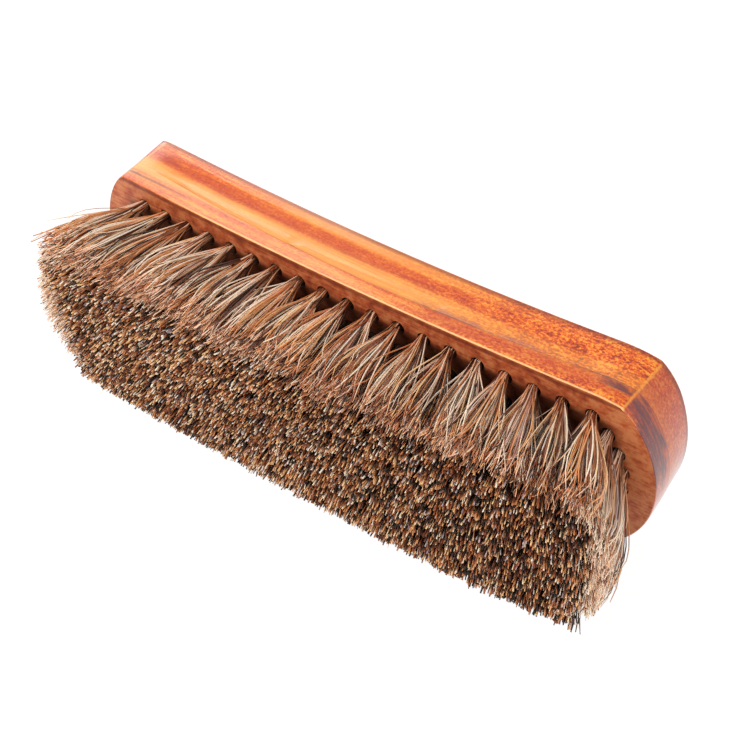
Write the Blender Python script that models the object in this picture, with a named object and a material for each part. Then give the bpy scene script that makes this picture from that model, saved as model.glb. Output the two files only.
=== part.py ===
"""Horsehair brush for clothes and shoes: a waisted wooden block, drilled for tufts of hair.

The brush is modelled bristles up, with X along it, Y across it and Z out of the bristle face,
whose centre is the origin. At the end it is laid on its long side, as it lies when put down.
"""

import math

import bmesh
import bpy
from mathutils import Matrix, Vector

# Plan of the block, on its bristle face and on its back: each rounded end reaches beyond
# the two creases where it meets the long sides
BLOCK_LENGTH = 0.2000
BLOCK_THICKNESS = 0.0210
FACE_END_REACH = 0.0116
FACE_CREASE_X = BLOCK_LENGTH / 2 - FACE_END_REACH
FACE_HALF_WIDTH = 0.0271
FACE_WAIST = 0.0027
BACK_END_INSET = 0.0023
BACK_END_REACH = 0.0090
BACK_LENGTH = BLOCK_LENGTH - 2 * BACK_END_INSET
BACK_CREASE_X = BACK_LENGTH / 2 - BACK_END_REACH
BACK_HALF_WIDTH = 0.0274
BACK_WAIST = 0.0036

# The creases were sanded round, those of the right end more: how far each is drawn in, and
# how far along the outline that is felt
RIGHT_FACE_TUCK = 0.0009
RIGHT_FACE_TUCK_REACH = 0.0090
RIGHT_BACK_TUCK = 0.0018
RIGHT_BACK_TUCK_REACH = 0.0130
LEFT_FACE_TUCK = 0.0004
LEFT_FACE_TUCK_REACH = 0.0040
LEFT_BACK_TUCK = 0.0007
LEFT_BACK_TUCK_REACH = 0.0050

# The left end of the back reaches out a little further than the right one
BACK_LEFT_DRAW = 0.0020

# Rounded edges of the block
FACE_EDGE_RADIUS = 0.0008
BACK_EDGE_RADIUS = 0.0026
FACE_EDGE_STEPS = 2
BACK_EDGE_STEPS = 4
SIDE_STEPS = 24
END_STEPS = 14

# Finger groove along each long side: its lip is measured from the bristle face, its top
# from the back, and depths count from the bristle face
GROOVE_LIP_DEPTH = 0.0058
GROOVE_LIP_RISE = 0.0018
GROOVE_TOP_MARGIN = 0.0038
GROOVE_TOP_DEPTH = BLOCK_THICKNESS - GROOVE_TOP_MARGIN
GROOVE_CUT = 0.0011
GROOVE_RUNOUT = 0.0180
# Place down the groove, how deep it is there, and how far it follows the rise of its lip
GROOVE_PROFILE_SHARES = (
    (0.00, 0.00, 1.00),
    (0.08, 0.62, 1.00),
    (0.30, 1.00, 0.80),
    (0.60, 0.78, 0.40),
    (0.84, 0.30, 0.10),
    (1.00, 0.00, 0.00),
)

# Tuft places on the bristle face: the last columns keep a margin to the creases, the outer
# rows one to the long edges
COLUMN_COUNT = 19
COLUMN_MARGIN = 0.00821
COLUMN_PITCH = 2 * (FACE_CREASE_X - COLUMN_MARGIN) / (COLUMN_COUNT - 1)
ROW_MARGIN = 0.0080
ROW_HALF_WIDTH = FACE_HALF_WIDTH - ROW_MARGIN
ROW_WAIST = 0.0017
ROW_SHARES = (1.0, 0.5, 0.0, -0.5, -1.0)
END_ARC_REACH = 0.0100
END_TUFT_COUNT = 6

# Drilled holes and what they hold
HOLE_RADIUS = 0.0021
HOLE_DEPTH = 0.0125
HOLE_SIDES = 12
FIT_GAP = 0.0003
CUT_OVERRUN = 0.0010
ANCHOR_LENGTH = 0.0050
ANCHOR_WIDTH = 0.0015
ANCHOR_THICKNESS = 0.0005
FOLD_THICKNESS = 0.0013

# Hair: it is longest at the left end, leans to the right and fans out, but the far tips of
# the right end are drawn in, and the left end stands askew, near tips out and far tips in;
# each spread is that of one tuft before it fans out
BRISTLE_LENGTH = 0.0388
LENGTH_FALL = 0.0052
TIP_RAGGEDNESS = 0.0014
TIP_LEAN = 0.0076
END_FLARE = 0.0058
NEAR_FLARE = 0.0076
FAR_TUCK = 0.0056
LEFT_SKEW = 0.0018
NEAR_SPREAD = 0.0031
NEAR_SPREAD_ACROSS = 0.0034
END_SPREAD = 0.0024
INNER_SPREAD = 0.0030
INNER_SPREAD_ACROSS = 0.0034
STRAND_GAP = 0.00040
STRAND_TIP_SHARE = 0.85
STRAND_BEND_SHARE = 0.42
PLUG_STRANDS = 5

# Slices of the drilled face that carry the inner and the far rows
SLICE_COLUMNS = (4, 4, 3, 4, 4)
SLICE_DEPTH = 0.0040
SLICE_MARGIN = 0.0034
SLICE_END_MARGIN = 0.0024
SLICE_TUFT_HALF = 0.0018

SMOOTH_ANGLE = math.radians(30)
LAID_DOWN = math.radians(90)
GOLDEN_SHARE = 0.618034


# Small helpers


def mix(start, end, share):
    """Returns the value that lies at share of the way from start to end."""
    return start + (end - start) * share


def arc_on(reach, half_chord):
    """Returns radius and half angle of the arc that reaches this far beyond its chord."""
    radius = (reach**2 + half_chord**2) / (2 * reach)
    return radius, math.atan2(half_chord, radius - reach)


def ragged(number):
    """Returns an even-looking spread of values from 0 to 1 for whole numbers."""
    return (number * GOLDEN_SHARE) % 1.0


def new_object(name, mesh_data, parent, material=None):
    """Makes an object from a bmesh, closed and facing out, under its parent."""
    bmesh.ops.recalc_face_normals(mesh_data, faces=mesh_data.faces[:])
    mesh = bpy.data.meshes.new(name)
    mesh_data.to_mesh(mesh)
    mesh_data.free()
    if material is not None:
        mesh.materials.append(material)
    made = bpy.data.objects.new(name, mesh)
    bpy.context.scene.collection.objects.link(made)
    made.parent = parent
    return made


def as_cutter(made):
    """Marks an object as a guide that only cuts others."""
    made.hide_render = True
    made.display_type = "WIRE"
    return made


def cut(target, cutter, name):
    """Cuts one object out of another with a live Boolean."""
    modifier = target.modifiers.new(name, "BOOLEAN")
    modifier.operation = "DIFFERENCE"
    modifier.object = cutter


def add_box(mesh_data, low, high):
    """Adds a box between two corners."""
    size = high - low
    place = Matrix.Translation((low + high) / 2) @ Matrix.Diagonal((*size, 1.0))
    bmesh.ops.create_cube(mesh_data, size=1.0, matrix=place)


def add_drum(mesh_data, sides, radius, low_z, high_z, x, y):
    """Adds a closed upright prism with the given number of sides."""
    place = Matrix.Translation((x, y, (low_z + high_z) / 2))
    bmesh.ops.create_cone(
        mesh_data,
        cap_ends=True,
        segments=sides,
        radius1=radius,
        radius2=radius,
        depth=high_z - low_z,
        matrix=place,
    )


# Materials


def finish(name, colour, roughness, metallic):
    """Makes a plain Principled material."""
    material = bpy.data.materials.new(name)
    material.use_nodes = True
    shader = material.node_tree.nodes["Principled BSDF"]
    shader.inputs["Base Color"].default_value = (*colour, 1.0)
    shader.inputs["Roughness"].default_value = roughness
    shader.inputs["Metallic"].default_value = metallic
    material.diffuse_color = (*colour, 1.0)
    return material


# The block


def outline_sizes(depth_share, inset):
    """Returns crease place, half width, waist and half length of the plan at one depth."""
    crease_x = mix(FACE_CREASE_X, BACK_CREASE_X, depth_share) - inset
    half_width = mix(FACE_HALF_WIDTH, BACK_HALF_WIDTH, depth_share) - inset
    waist = mix(FACE_WAIST, BACK_WAIST, depth_share)
    half_length = mix(BLOCK_LENGTH, BACK_LENGTH, depth_share) / 2 - inset
    return crease_x, half_width, waist, half_length


def sand(point, depth_share, inset):
    """Draws a point of the outline in close to a crease, and the left end of the back out."""
    crease_x, half_width, _, half_length = outline_sizes(depth_share, inset)
    _, half_angle = arc_on(half_length - crease_x, half_width)
    if point.x > 0:
        tuck = mix(RIGHT_FACE_TUCK, RIGHT_BACK_TUCK, depth_share)
        reach = mix(RIGHT_FACE_TUCK_REACH, RIGHT_BACK_TUCK_REACH, depth_share)
        draw = 0.0
    else:
        tuck = mix(LEFT_FACE_TUCK, LEFT_BACK_TUCK, depth_share)
        reach = mix(LEFT_FACE_TUCK_REACH, LEFT_BACK_TUCK_REACH, depth_share)
        draw = BACK_LEFT_DRAW * depth_share * (point.x / half_length) ** 2
    end = math.copysign(1, point.x)
    side = math.copysign(1, point.y)
    crease = Vector((end * crease_x, side * half_width))
    outward = Vector((end * math.cos(half_angle), side * (1 + math.sin(half_angle)), 0.0)).normalized()
    nearness = max(1 - (point.xy - crease).length / reach, 0.0)
    return point - outward * tuck * nearness**2 - Vector((draw, 0.0, 0.0))


def runout(distance):
    """Fades the groove out smoothly over its last stretch before a crease."""
    share = min(max(distance / GROOVE_RUNOUT, 0.0), 1.0)
    return share * share * (3 - 2 * share)


def side_line(level, facing):
    """Returns one long side of the plan at a level, from one crease to just short of the other.

    Its points stand closer together towards the creases.
    """
    depth, inset, groove_share, rise_share = level
    depth_share = depth / BLOCK_THICKNESS
    crease_x, half_width, waist, _ = outline_sizes(depth_share, inset)
    points = []
    for step in range(SIDE_STEPS):
        x = facing * crease_x * math.cos(math.pi * step / SIDE_STEPS)
        along = (x / crease_x) ** 2
        y = half_width - waist * (1 - along)
        y -= GROOVE_CUT * groove_share * runout(crease_x - abs(x))
        z = -depth - GROOVE_LIP_RISE * rise_share * along
        points.append(sand(Vector((x, facing * y, z)), depth_share, inset))
    return points


def end_line(level, facing):
    """Returns one rounded end of the plan at a level: an arc that stands on the two creases."""
    depth, inset, _, rise_share = level
    depth_share = depth / BLOCK_THICKNESS
    crease_x, half_width, _, half_length = outline_sizes(depth_share, inset)
    radius, half_angle = arc_on(half_length - crease_x, half_width)
    z = -depth - GROOVE_LIP_RISE * rise_share
    points = []
    for step in range(END_STEPS):
        angle = half_angle * (1 - 2 * step / END_STEPS)
        x = half_length - radius * (1 - math.cos(angle))
        point = Vector((-facing * x, facing * radius * math.sin(angle), z))
        points.append(sand(point, depth_share, inset))
    return points


def block_levels():
    """Lists the levels of the loft: depth, inset, groove and lip rise, from face to back."""
    levels = []
    for step in range(FACE_EDGE_STEPS + 1):
        turn = math.pi / 2 * step / FACE_EDGE_STEPS
        depth = FACE_EDGE_RADIUS * (1 - math.cos(turn))
        levels.append((depth, FACE_EDGE_RADIUS * (1 - math.sin(turn)), 0.0, 0.0))
    for place_share, groove_share, rise_share in GROOVE_PROFILE_SHARES:
        depth = mix(GROOVE_LIP_DEPTH, GROOVE_TOP_DEPTH, place_share)
        levels.append((depth, 0.0, groove_share, rise_share))
    for step in range(BACK_EDGE_STEPS + 1):
        turn = math.pi / 2 * step / BACK_EDGE_STEPS
        depth = BLOCK_THICKNESS - BACK_EDGE_RADIUS * (1 - math.sin(turn))
        levels.append((depth, BACK_EDGE_RADIUS * (1 - math.cos(turn)), 0.0, 0.0))
    return levels


def loft(mesh_data, rings):
    """Skins a stack of rings of equal count and caps both ends."""
    skins = [[mesh_data.verts.new(point) for point in ring] for ring in rings]
    count = len(skins[0])
    for upper, lower in zip(skins, skins[1:]):
        for start in range(count):
            end = (start + 1) % count
            mesh_data.faces.new((upper[start], upper[end], lower[end], lower[start]))
    mesh_data.faces.new(skins[0])
    mesh_data.faces.new(reversed(skins[-1]))


def make_block(parent, wood):
    """Lofts the waisted block from its bristle face to its back."""
    mesh_data = bmesh.new()
    rings = []
    for level in block_levels():
        ring = side_line(level, 1) + end_line(level, 1)
        ring += side_line(level, -1) + end_line(level, -1)
        rings.append(ring)
    loft(mesh_data, rings)
    block = new_object("handle_block", mesh_data, parent, wood)
    block.data.shade_smooth()
    block.data.set_sharp_from_angle(angle=SMOOTH_ANGLE)
    return block


# Places of the tufts


def column_x(column):
    """Returns the place of a column along the brush; half numbers lie between two columns."""
    return (column - (COLUMN_COUNT - 1) / 2) * COLUMN_PITCH


def row_y(x, row_share):
    """Returns the place of a row across the brush: the rows follow the waist of the block."""
    along = (x / FACE_CREASE_X) ** 2
    return row_share * (ROW_HALF_WIDTH - ROW_WAIST * (1 - along))


def end_places(facing):
    """Lists the tufts that turn round one end, on an arc from the near row to the far row."""
    last_x = column_x(COLUMN_COUNT - 1)
    last_y = row_y(last_x, 1.0)
    radius, half_angle = arc_on(END_ARC_REACH, last_y)
    places = []
    for number in range(1, END_TUFT_COUNT + 1):
        angle = half_angle * (1 - 2 * number / (END_TUFT_COUNT + 1))
        x = last_x + END_ARC_REACH - radius * (1 - math.cos(angle))
        places.append(Vector((facing * x, radius * math.sin(angle), 0.0)))
    return places


def near_places():
    """Lists the tufts of the near row, which is the upper one when the brush lies down."""
    places = []
    for column in range(COLUMN_COUNT):
        x = column_x(column)
        places.append(Vector((x, row_y(x, 1.0), 0.0)))
    return places


def tip_place(place):
    """Returns where hair over a place of the bristle face ends, as the field fans out and leans.

    The outermost tips of the far row end level with the edge of the back, so that the brush
    lies flat.
    """
    along = place.x / FACE_CREASE_X
    across = place.y / ROW_HALF_WIDTH
    far_flare = BACK_HALF_WIDTH / (1 + INNER_SPREAD_ACROSS / ROW_HALF_WIDTH) - ROW_HALF_WIDTH
    flare = NEAR_FLARE if place.y > 0 else far_flare
    tuck = FAR_TUCK * max(along, 0.0) ** 3 * max(-across, 0.0)
    skew = LEFT_SKEW * max(-along, 0.0) ** 2 * across
    x = place.x + TIP_LEAN + END_FLARE * along - tuck / 2 - skew
    y = place.y + flare * across + tuck
    z = BRISTLE_LENGTH - LENGTH_FALL * ((1 + along) / 2) ** 3
    return Vector((x, y, z))


# Hair


def grow_strand(mesh_data, face, root, spread, number, steps):
    """Draws one face out into a tapered strand, away from the middle of its tuft."""
    foot = face.calc_center_median()
    outward = (foot - root).normalized()
    tip = tip_place(root + Vector((outward.x * spread.x, outward.y * spread.y, 0.0)))
    tip.z -= TIP_RAGGEDNESS * ragged(number)
    size = 1.0
    for step in range(1, steps + 1):
        rise = step / steps
        sway = rise if rise == 1 else STRAND_BEND_SHARE
        centre = Vector((mix(foot.x, tip.x, sway), mix(foot.y, tip.y, sway), mix(foot.z, tip.z, rise)))
        new_size = mix(1.0, STRAND_TIP_SHARE, rise)
        old_centre = face.calc_center_median()
        face = bmesh.ops.extrude_discrete_faces(mesh_data, faces=[face])["faces"][0]
        for vert in face.verts:
            vert.co = centre + (vert.co - old_centre) * new_size / size
        size = new_size


def grow_tuft(mesh_data, face, root, spread, number, steps):
    """Splits a face into wedges, one to each of its sides, and grows a strand on every wedge."""
    wedges = bmesh.ops.poke(mesh_data, faces=[face])["faces"]
    bmesh.ops.inset_individual(mesh_data, faces=wedges, thickness=STRAND_GAP / 2)
    for wedge_number, wedge in enumerate(wedges):
        strand_number = number * len(wedges) + wedge_number
        grow_strand(mesh_data, wedge, root, spread, strand_number, steps)


def make_plug_tuft(name, place, spread, number, parent, hair):
    """Makes a tuft with a round root that fills its drilled hole."""
    mesh_data = bmesh.new()
    root_z = -HOLE_DEPTH + FIT_GAP
    add_drum(mesh_data, PLUG_STRANDS, HOLE_RADIUS - FIT_GAP, root_z, 0.0, place.x, place.y)
    mouth = max(mesh_data.faces, key=lambda face: face.calc_center_median().z)
    grow_tuft(mesh_data, mouth, place, spread, number, 2)
    return new_object(name, mesh_data, parent, hair)


# Anchors: flat wire driven across the fold of a tuft, whose ends bite into the wood


def anchor_corners(place, gap):
    """Returns the two corners of an anchor at a tuft's place, made larger by a gap all round."""
    low_z = -HOLE_DEPTH + FIT_GAP + FOLD_THICKNESS + FIT_GAP
    half = Vector((ANCHOR_LENGTH / 2 + gap, ANCHOR_WIDTH / 2 + gap, 0.0))
    low = Vector((place.x, place.y, low_z - gap)) - half
    high = Vector((place.x, place.y, low_z + ANCHOR_THICKNESS + gap)) + half
    return low, high


def make_anchor(name, place, parent, steel):
    """Makes one anchor in its tuft's fold."""
    mesh_data = bmesh.new()
    add_box(mesh_data, *anchor_corners(place, 0.0))
    return new_object(name, mesh_data, parent, steel)


def make_anchor_cutter(places, parent):
    """Makes the slots that all anchors need, through their tufts and into the wood."""
    mesh_data = bmesh.new()
    for place in places:
        add_box(mesh_data, *anchor_corners(place, FIT_GAP))
    return as_cutter(new_object("anchor_slots", mesh_data, parent))


# Slices of the drilled face


def row_edge(x, edge):
    """Returns the edge of the slices across the brush: 0 is the near edge, the last is the far one."""
    inner_shares = ROW_SHARES[1:]
    if edge == 0:
        return row_y(x, inner_shares[0]) + SLICE_MARGIN
    if edge == len(inner_shares):
        return row_y(x, inner_shares[-1]) - SLICE_MARGIN
    return row_y(x, (inner_shares[edge - 1] + inner_shares[edge]) / 2)


def column_edge(edge):
    """Returns the edge between two columns; the outermost ones stand close to their tufts."""
    if edge == 0:
        return column_x(0) - SLICE_END_MARGIN
    if edge == COLUMN_COUNT:
        return column_x(COLUMN_COUNT - 1) + SLICE_END_MARGIN
    return column_x(edge - 1 / 2)


def slice_grid(mesh_data, first, count):
    """Lays out one cell for each tuft of a slice, as a flat sheet on the bristle face."""
    row_count = len(ROW_SHARES) - 1
    grid = []
    for step in range(count + 1):
        x = column_edge(first + step)
        if step == 0 and first > 0:
            x += FIT_GAP / 2
        if step == count and first + count < COLUMN_COUNT:
            x -= FIT_GAP / 2
        line = [mesh_data.verts.new((x, row_edge(x, edge), 0.0)) for edge in range(row_count + 1)]
        grid.append(line)
    cells = []
    for step in range(count):
        for row in range(row_count):
            corners = (grid[step][row], grid[step + 1][row], grid[step + 1][row + 1], grid[step][row + 1])
            cells.append((first + step, row + 1, mesh_data.faces.new(corners)))
    return cells


def make_slice(name, first, count, parent, hair):
    """Makes a slice of the drilled face with a tuft on each of its cells."""
    mesh_data = bmesh.new()
    cells = slice_grid(mesh_data, first, count)
    spread = Vector((INNER_SPREAD, INNER_SPREAD_ACROSS))
    sheet = [face for _, _, face in cells]
    copied = bmesh.ops.duplicate(mesh_data, geom=sheet)["geom"]
    for item in copied:
        if isinstance(item, bmesh.types.BMVert):
            item.co.z = -SLICE_DEPTH
    rims = [edge for edge in mesh_data.edges if edge.is_boundary]
    bmesh.ops.bridge_loops(mesh_data, edges=rims)
    for column, row, face in cells:
        x = column_x(column)
        root = Vector((x, row_y(x, ROW_SHARES[row]), 0.0))
        bmesh.ops.inset_individual(mesh_data, faces=[face], thickness=SLICE_TUFT_HALF / 2)
        middle = face.calc_center_median()
        for vert in face.verts:
            vert.co.x = root.x + math.copysign(SLICE_TUFT_HALF, vert.co.x - middle.x)
            vert.co.y = root.y + math.copysign(SLICE_TUFT_HALF, vert.co.y - middle.y)
        number = column * len(ROW_SHARES) + row
        grow_tuft(mesh_data, face, root, spread, number, 1)
    return new_object(name, mesh_data, parent, hair)


def make_pocket_cutter(parent):
    """Makes the shallow pocket in the bristle face that takes all slices."""
    mesh_data = bmesh.new()
    last_edge = len(ROW_SHARES) - 1
    stretch = 1 + FIT_GAP / column_edge(COLUMN_COUNT)
    near = []
    far = []
    for edge in range(COLUMN_COUNT + 1):
        x = column_edge(edge)
        near.append(Vector((x * stretch, row_edge(x, 0) + FIT_GAP, 0.0)))
        far.append(Vector((x * stretch, row_edge(x, last_edge) - FIT_GAP, 0.0)))
    ring = near + far[::-1]
    top = Vector((0.0, 0.0, CUT_OVERRUN))
    floor = Vector((0.0, 0.0, -SLICE_DEPTH - FIT_GAP))
    loft(mesh_data, [[point + top for point in ring], [point + floor for point in ring]])
    return as_cutter(new_object("slice_pocket", mesh_data, parent))


def make_hole_cutter(places, parent):
    """Makes the drills for the tufts that stand in holes of their own."""
    mesh_data = bmesh.new()
    for place in places:
        add_drum(mesh_data, HOLE_SIDES, HOLE_RADIUS, -HOLE_DEPTH, CUT_OVERRUN, place.x, place.y)
    return as_cutter(new_object("tuft_drills", mesh_data, parent))


# The whole brush


def make_empty(name):
    """Makes the empty that carries the brush."""
    empty = bpy.data.objects.new(name, None)
    bpy.context.scene.collection.objects.link(empty)
    return empty


def lay_down(carrier, pieces):
    """Turns the brush on its long side, with the middle of its underside at the origin."""
    carrier.rotation_euler = (LAID_DOWN, 0.0, 0.0)
    bpy.context.view_layer.update()
    graph = bpy.context.evaluated_depsgraph_get()
    corners = []
    for piece in pieces:
        evaluated = piece.evaluated_get(graph)
        corners += [evaluated.matrix_world @ vert.co for vert in evaluated.data.vertices]
    low = Vector([min(corner[axis] for corner in corners) for axis in range(3)])
    high = Vector([max(corner[axis] for corner in corners) for axis in range(3)])
    middle = (low + high) / 2
    carrier.location = (-middle.x, -middle.y, -low.z)


def build():
    """Builds the brush, piece by piece."""
    for old in list(bpy.data.objects):
        bpy.data.objects.remove(old)
    carrier = make_empty("brush")
    wood = finish("wood", (0.50, 0.16, 0.05), 0.30, 0.0)
    hair = finish("hair", (0.30, 0.21, 0.13), 0.75, 0.0)
    steel = finish("steel", (0.55, 0.55, 0.56), 0.35, 1.0)

    near = near_places()
    left = end_places(-1)
    right = end_places(1)
    block = make_block(carrier, wood)
    slots = make_anchor_cutter(near, carrier)
    cut(block, make_pocket_cutter(carrier), "pocket")
    cut(block, make_hole_cutter(near + left + right, carrier), "holes")
    cut(block, slots, "anchor_bites")
    pieces = [block]

    near_spread = Vector((NEAR_SPREAD, NEAR_SPREAD_ACROSS))
    for number, place in enumerate(near, start=1):
        tuft = make_plug_tuft(f"near_tuft_{number:02d}", place, near_spread, number, carrier, hair)
        cut(tuft, slots, "anchor_slot")
        pieces.append(tuft)
        pieces.append(make_anchor(f"near_anchor_{number:02d}", place, carrier, steel))
    end_spread = Vector((END_SPREAD, END_SPREAD))
    for side, places in (("left", left), ("right", right)):
        for number, place in enumerate(places, start=1):
            name = f"{side}_end_tuft_{number}"
            pieces.append(make_plug_tuft(name, place, end_spread, number, carrier, hair))
    first = 0
    for number, count in enumerate(SLICE_COLUMNS, start=1):
        pieces.append(make_slice(f"bristle_slice_{number}", first, count, carrier, hair))
        first += count
    lay_down(carrier, pieces)


build()
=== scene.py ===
"""Studio picture of a horsehair brush: a lacquered, waisted wood block set with tufts of hair.

The block and the hair are modelled bristles up, with X along the brush, Y across it and Z out
of the bristle face. They are then laid on their long side, where the frame holds the brush.
All lengths are in metres.
"""

import logging
import math
from dataclasses import dataclass, field, replace
from enum import Enum
from typing import Callable, Iterable, Iterator, Sequence, Union

import bmesh
import bpy
import numpy as np
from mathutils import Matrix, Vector


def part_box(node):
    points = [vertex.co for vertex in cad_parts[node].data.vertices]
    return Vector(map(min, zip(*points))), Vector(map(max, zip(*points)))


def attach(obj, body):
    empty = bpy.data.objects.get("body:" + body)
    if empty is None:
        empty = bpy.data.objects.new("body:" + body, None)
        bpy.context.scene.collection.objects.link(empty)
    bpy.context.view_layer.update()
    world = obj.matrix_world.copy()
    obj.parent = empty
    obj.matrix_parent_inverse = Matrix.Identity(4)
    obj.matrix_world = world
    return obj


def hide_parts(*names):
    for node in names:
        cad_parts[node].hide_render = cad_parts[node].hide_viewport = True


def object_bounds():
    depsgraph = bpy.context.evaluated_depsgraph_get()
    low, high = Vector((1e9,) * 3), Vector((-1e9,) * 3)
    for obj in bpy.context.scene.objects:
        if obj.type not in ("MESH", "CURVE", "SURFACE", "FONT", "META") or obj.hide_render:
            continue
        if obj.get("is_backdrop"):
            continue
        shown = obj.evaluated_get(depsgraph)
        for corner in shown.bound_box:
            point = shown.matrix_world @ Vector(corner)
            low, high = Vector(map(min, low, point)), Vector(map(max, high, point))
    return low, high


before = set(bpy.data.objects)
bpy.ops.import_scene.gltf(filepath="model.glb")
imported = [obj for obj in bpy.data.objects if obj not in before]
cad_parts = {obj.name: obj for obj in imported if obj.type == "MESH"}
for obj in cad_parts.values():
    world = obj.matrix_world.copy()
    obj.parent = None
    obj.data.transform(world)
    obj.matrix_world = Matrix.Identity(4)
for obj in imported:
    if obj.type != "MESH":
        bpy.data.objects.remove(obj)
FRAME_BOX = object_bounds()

log = logging.getLogger("horsehair_brush")

MM = 0.001
ON_LINE = 0.01 * MM
SAME_PLACE = 0.02 * MM
BESIDE = 0.1 * MM
BODY = "root"
HAIR_ATTRIBUTE = "hair"
QUARTER_TURN = math.radians(90)
GOLDEN_ANGLE = math.radians(137.50776)

Colour = tuple[float, float, float]
Place = tuple[float, float, float]
Span = tuple[float, float]
Key = Union[int, str]
Faces = Sequence[tuple[int, ...]]


class Slot(Enum):
    """Material slots of the record."""

    WOOD = "wood"
    HAIR = "horsehair"


class End(Enum):
    """The two rounded ends of the brush, as the sign of X there."""

    LEFT = -1
    RIGHT = 1


class Skin(Enum):
    """The finishes of the block, by their place in its list of materials."""

    LACQUER = 0
    FACE = 1
    HOLE = 2


class Part(Enum):
    """What is selected in edit mode."""

    POINT = "VERT"
    EDGE = "EDGE"
    FACE = "FACE"


class Fade(Enum):
    """How the reach of an edit dies away from what is selected."""

    SMOOTH = "SMOOTH"
    ARCH = "INVERSE_SQUARE"
    ROUND = "SPHERE"
    TUCK = "SHARP"


# Hand tools for modelling


def clear_selection() -> None:
    """Leaves edit mode and deselects every object."""
    if bpy.context.object is not None and bpy.context.object.mode != "OBJECT":
        bpy.ops.object.mode_set(mode="OBJECT")
    bpy.ops.object.select_all(action="DESELECT")


def take(piece: bpy.types.Object) -> None:
    """Makes a piece the only selected one, and the active one.

    Args:
        piece: The object to select.
    """
    clear_selection()
    piece.select_set(True)
    bpy.context.view_layer.objects.active = piece


def adopt(name: str) -> bpy.types.Object:
    """Names the primitive that was just added, and its mesh.

    Args:
        name: The piece's plain name.

    Returns:
        The new object.
    """
    piece = bpy.context.object
    piece.name = name
    piece.data.name = name
    return piece


def start(name: str) -> bpy.types.Object:
    """Names the primitive that was just added, and opens it in edit mode, in its place.

    Args:
        name: The piece's plain name.

    Returns:
        The new object.
    """
    piece = adopt(name)
    bpy.ops.object.transform_apply(location=True, rotation=False, scale=False)
    bpy.ops.object.mode_set(mode="EDIT")
    return piece


def link(piece: bpy.types.Object) -> None:
    """Puts an object that was made without an operator in the scene."""
    bpy.context.scene.collection.objects.link(piece)


def pick(piece: bpy.types.Object, part: Part, wanted: Callable[..., bool]) -> None:
    """Selects the visible points, edges or faces of a mesh that pass a test, in edit mode.

    Args:
        piece: The object in edit mode.
        part: What is selected.
        wanted: Says, from the places of its points, whether an item is to be selected.
    """
    bpy.ops.mesh.select_mode(type=part.value)
    bpy.ops.mesh.select_all(action="DESELECT")
    mesh = bmesh.from_edit_mesh(piece.data)
    for item in {Part.POINT: mesh.verts, Part.EDGE: mesh.edges, Part.FACE: mesh.faces}[part]:
        spots = [item.co] if part is Part.POINT else [vert.co for vert in item.verts]
        if not item.hide and wanted(*spots):
            item.select_set(True)
    mesh.select_flush_mode()
    bmesh.update_edit_mesh(piece.data, loop_triangles=False, destructive=False)


def pull(value: Sequence[float], fade: Fade, reach: float) -> None:
    """Moves the selected points, and what lies near them less and less.

    Args:
        value: The move along X, Y and Z.
        fade: How the move dies away.
        reach: How far from the selected points it is felt.
    """
    bpy.ops.transform.translate(
        value=value,
        use_proportional_edit=True,
        proportional_edit_falloff=fade.value,
        proportional_size=reach,
    )


def ease(radius: float, segments: int) -> None:
    """Rounds the selected edges."""
    bpy.ops.mesh.bevel(offset=radius, segments=segments, affect="EDGES", clamp_overlap=True)


def face_outwards() -> None:
    """Turns all faces of the mesh in edit mode outwards."""
    bpy.ops.mesh.select_all(action="SELECT")
    bpy.ops.mesh.normals_make_consistent(inside=False)


def apply_modifier(piece: bpy.types.Object, name: str, kind: str, **settings: object) -> None:
    """Adds a modifier to a piece and applies it.

    Args:
        piece: The object to change.
        name: The modifier's name.
        kind: Blender's type of modifier.
        **settings: Values of the modifier.
    """
    take(piece)
    modifier = piece.modifiers.new(name, kind)
    for key, value in settings.items():
        setattr(modifier, key, value)
    bpy.ops.object.modifier_apply(modifier=name)


# Shader maths


class Wire:
    """A socket of a node tree on which Python's arithmetic adds Math nodes."""

    def __init__(self, bench: "NodeBench", socket: bpy.types.NodeSocket) -> None:
        """Keeps the socket and the bench that its nodes are added on."""
        self.bench = bench
        self.socket = socket

    def __add__(self, other: "Value") -> "Wire":
        """Adds."""
        return self.bench.maths("ADD", self, other)

    def __sub__(self, other: "Value") -> "Wire":
        """Subtracts."""
        return self.bench.maths("SUBTRACT", self, other)

    def __rsub__(self, other: "Value") -> "Wire":
        """Subtracts from a number."""
        return self.bench.maths("SUBTRACT", other, self)

    def __mul__(self, other: "Value") -> "Wire":
        """Multiplies."""
        return self.bench.maths("MULTIPLY", self, other)

    def __abs__(self) -> "Wire":
        """Drops the sign."""
        return self.bench.maths("ABSOLUTE", self, 0.0)

    __radd__ = __add__
    __rmul__ = __mul__


Value = Union[Wire, float, int]


@dataclass(frozen=True)
class Noise:
    """A noise round 0.5, drawn out along the axes where its scale is small."""

    scale: Place = (1.0, 1.0, 1.0)
    detail: float = 2.0
    roughness: float = 0.5

    def layers(self) -> dict[str, object]:
        """Fills the sockets of its node that tell how fine it is."""
        return {"Scale": 1.0, "Detail": self.detail, "Roughness": self.roughness}


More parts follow.
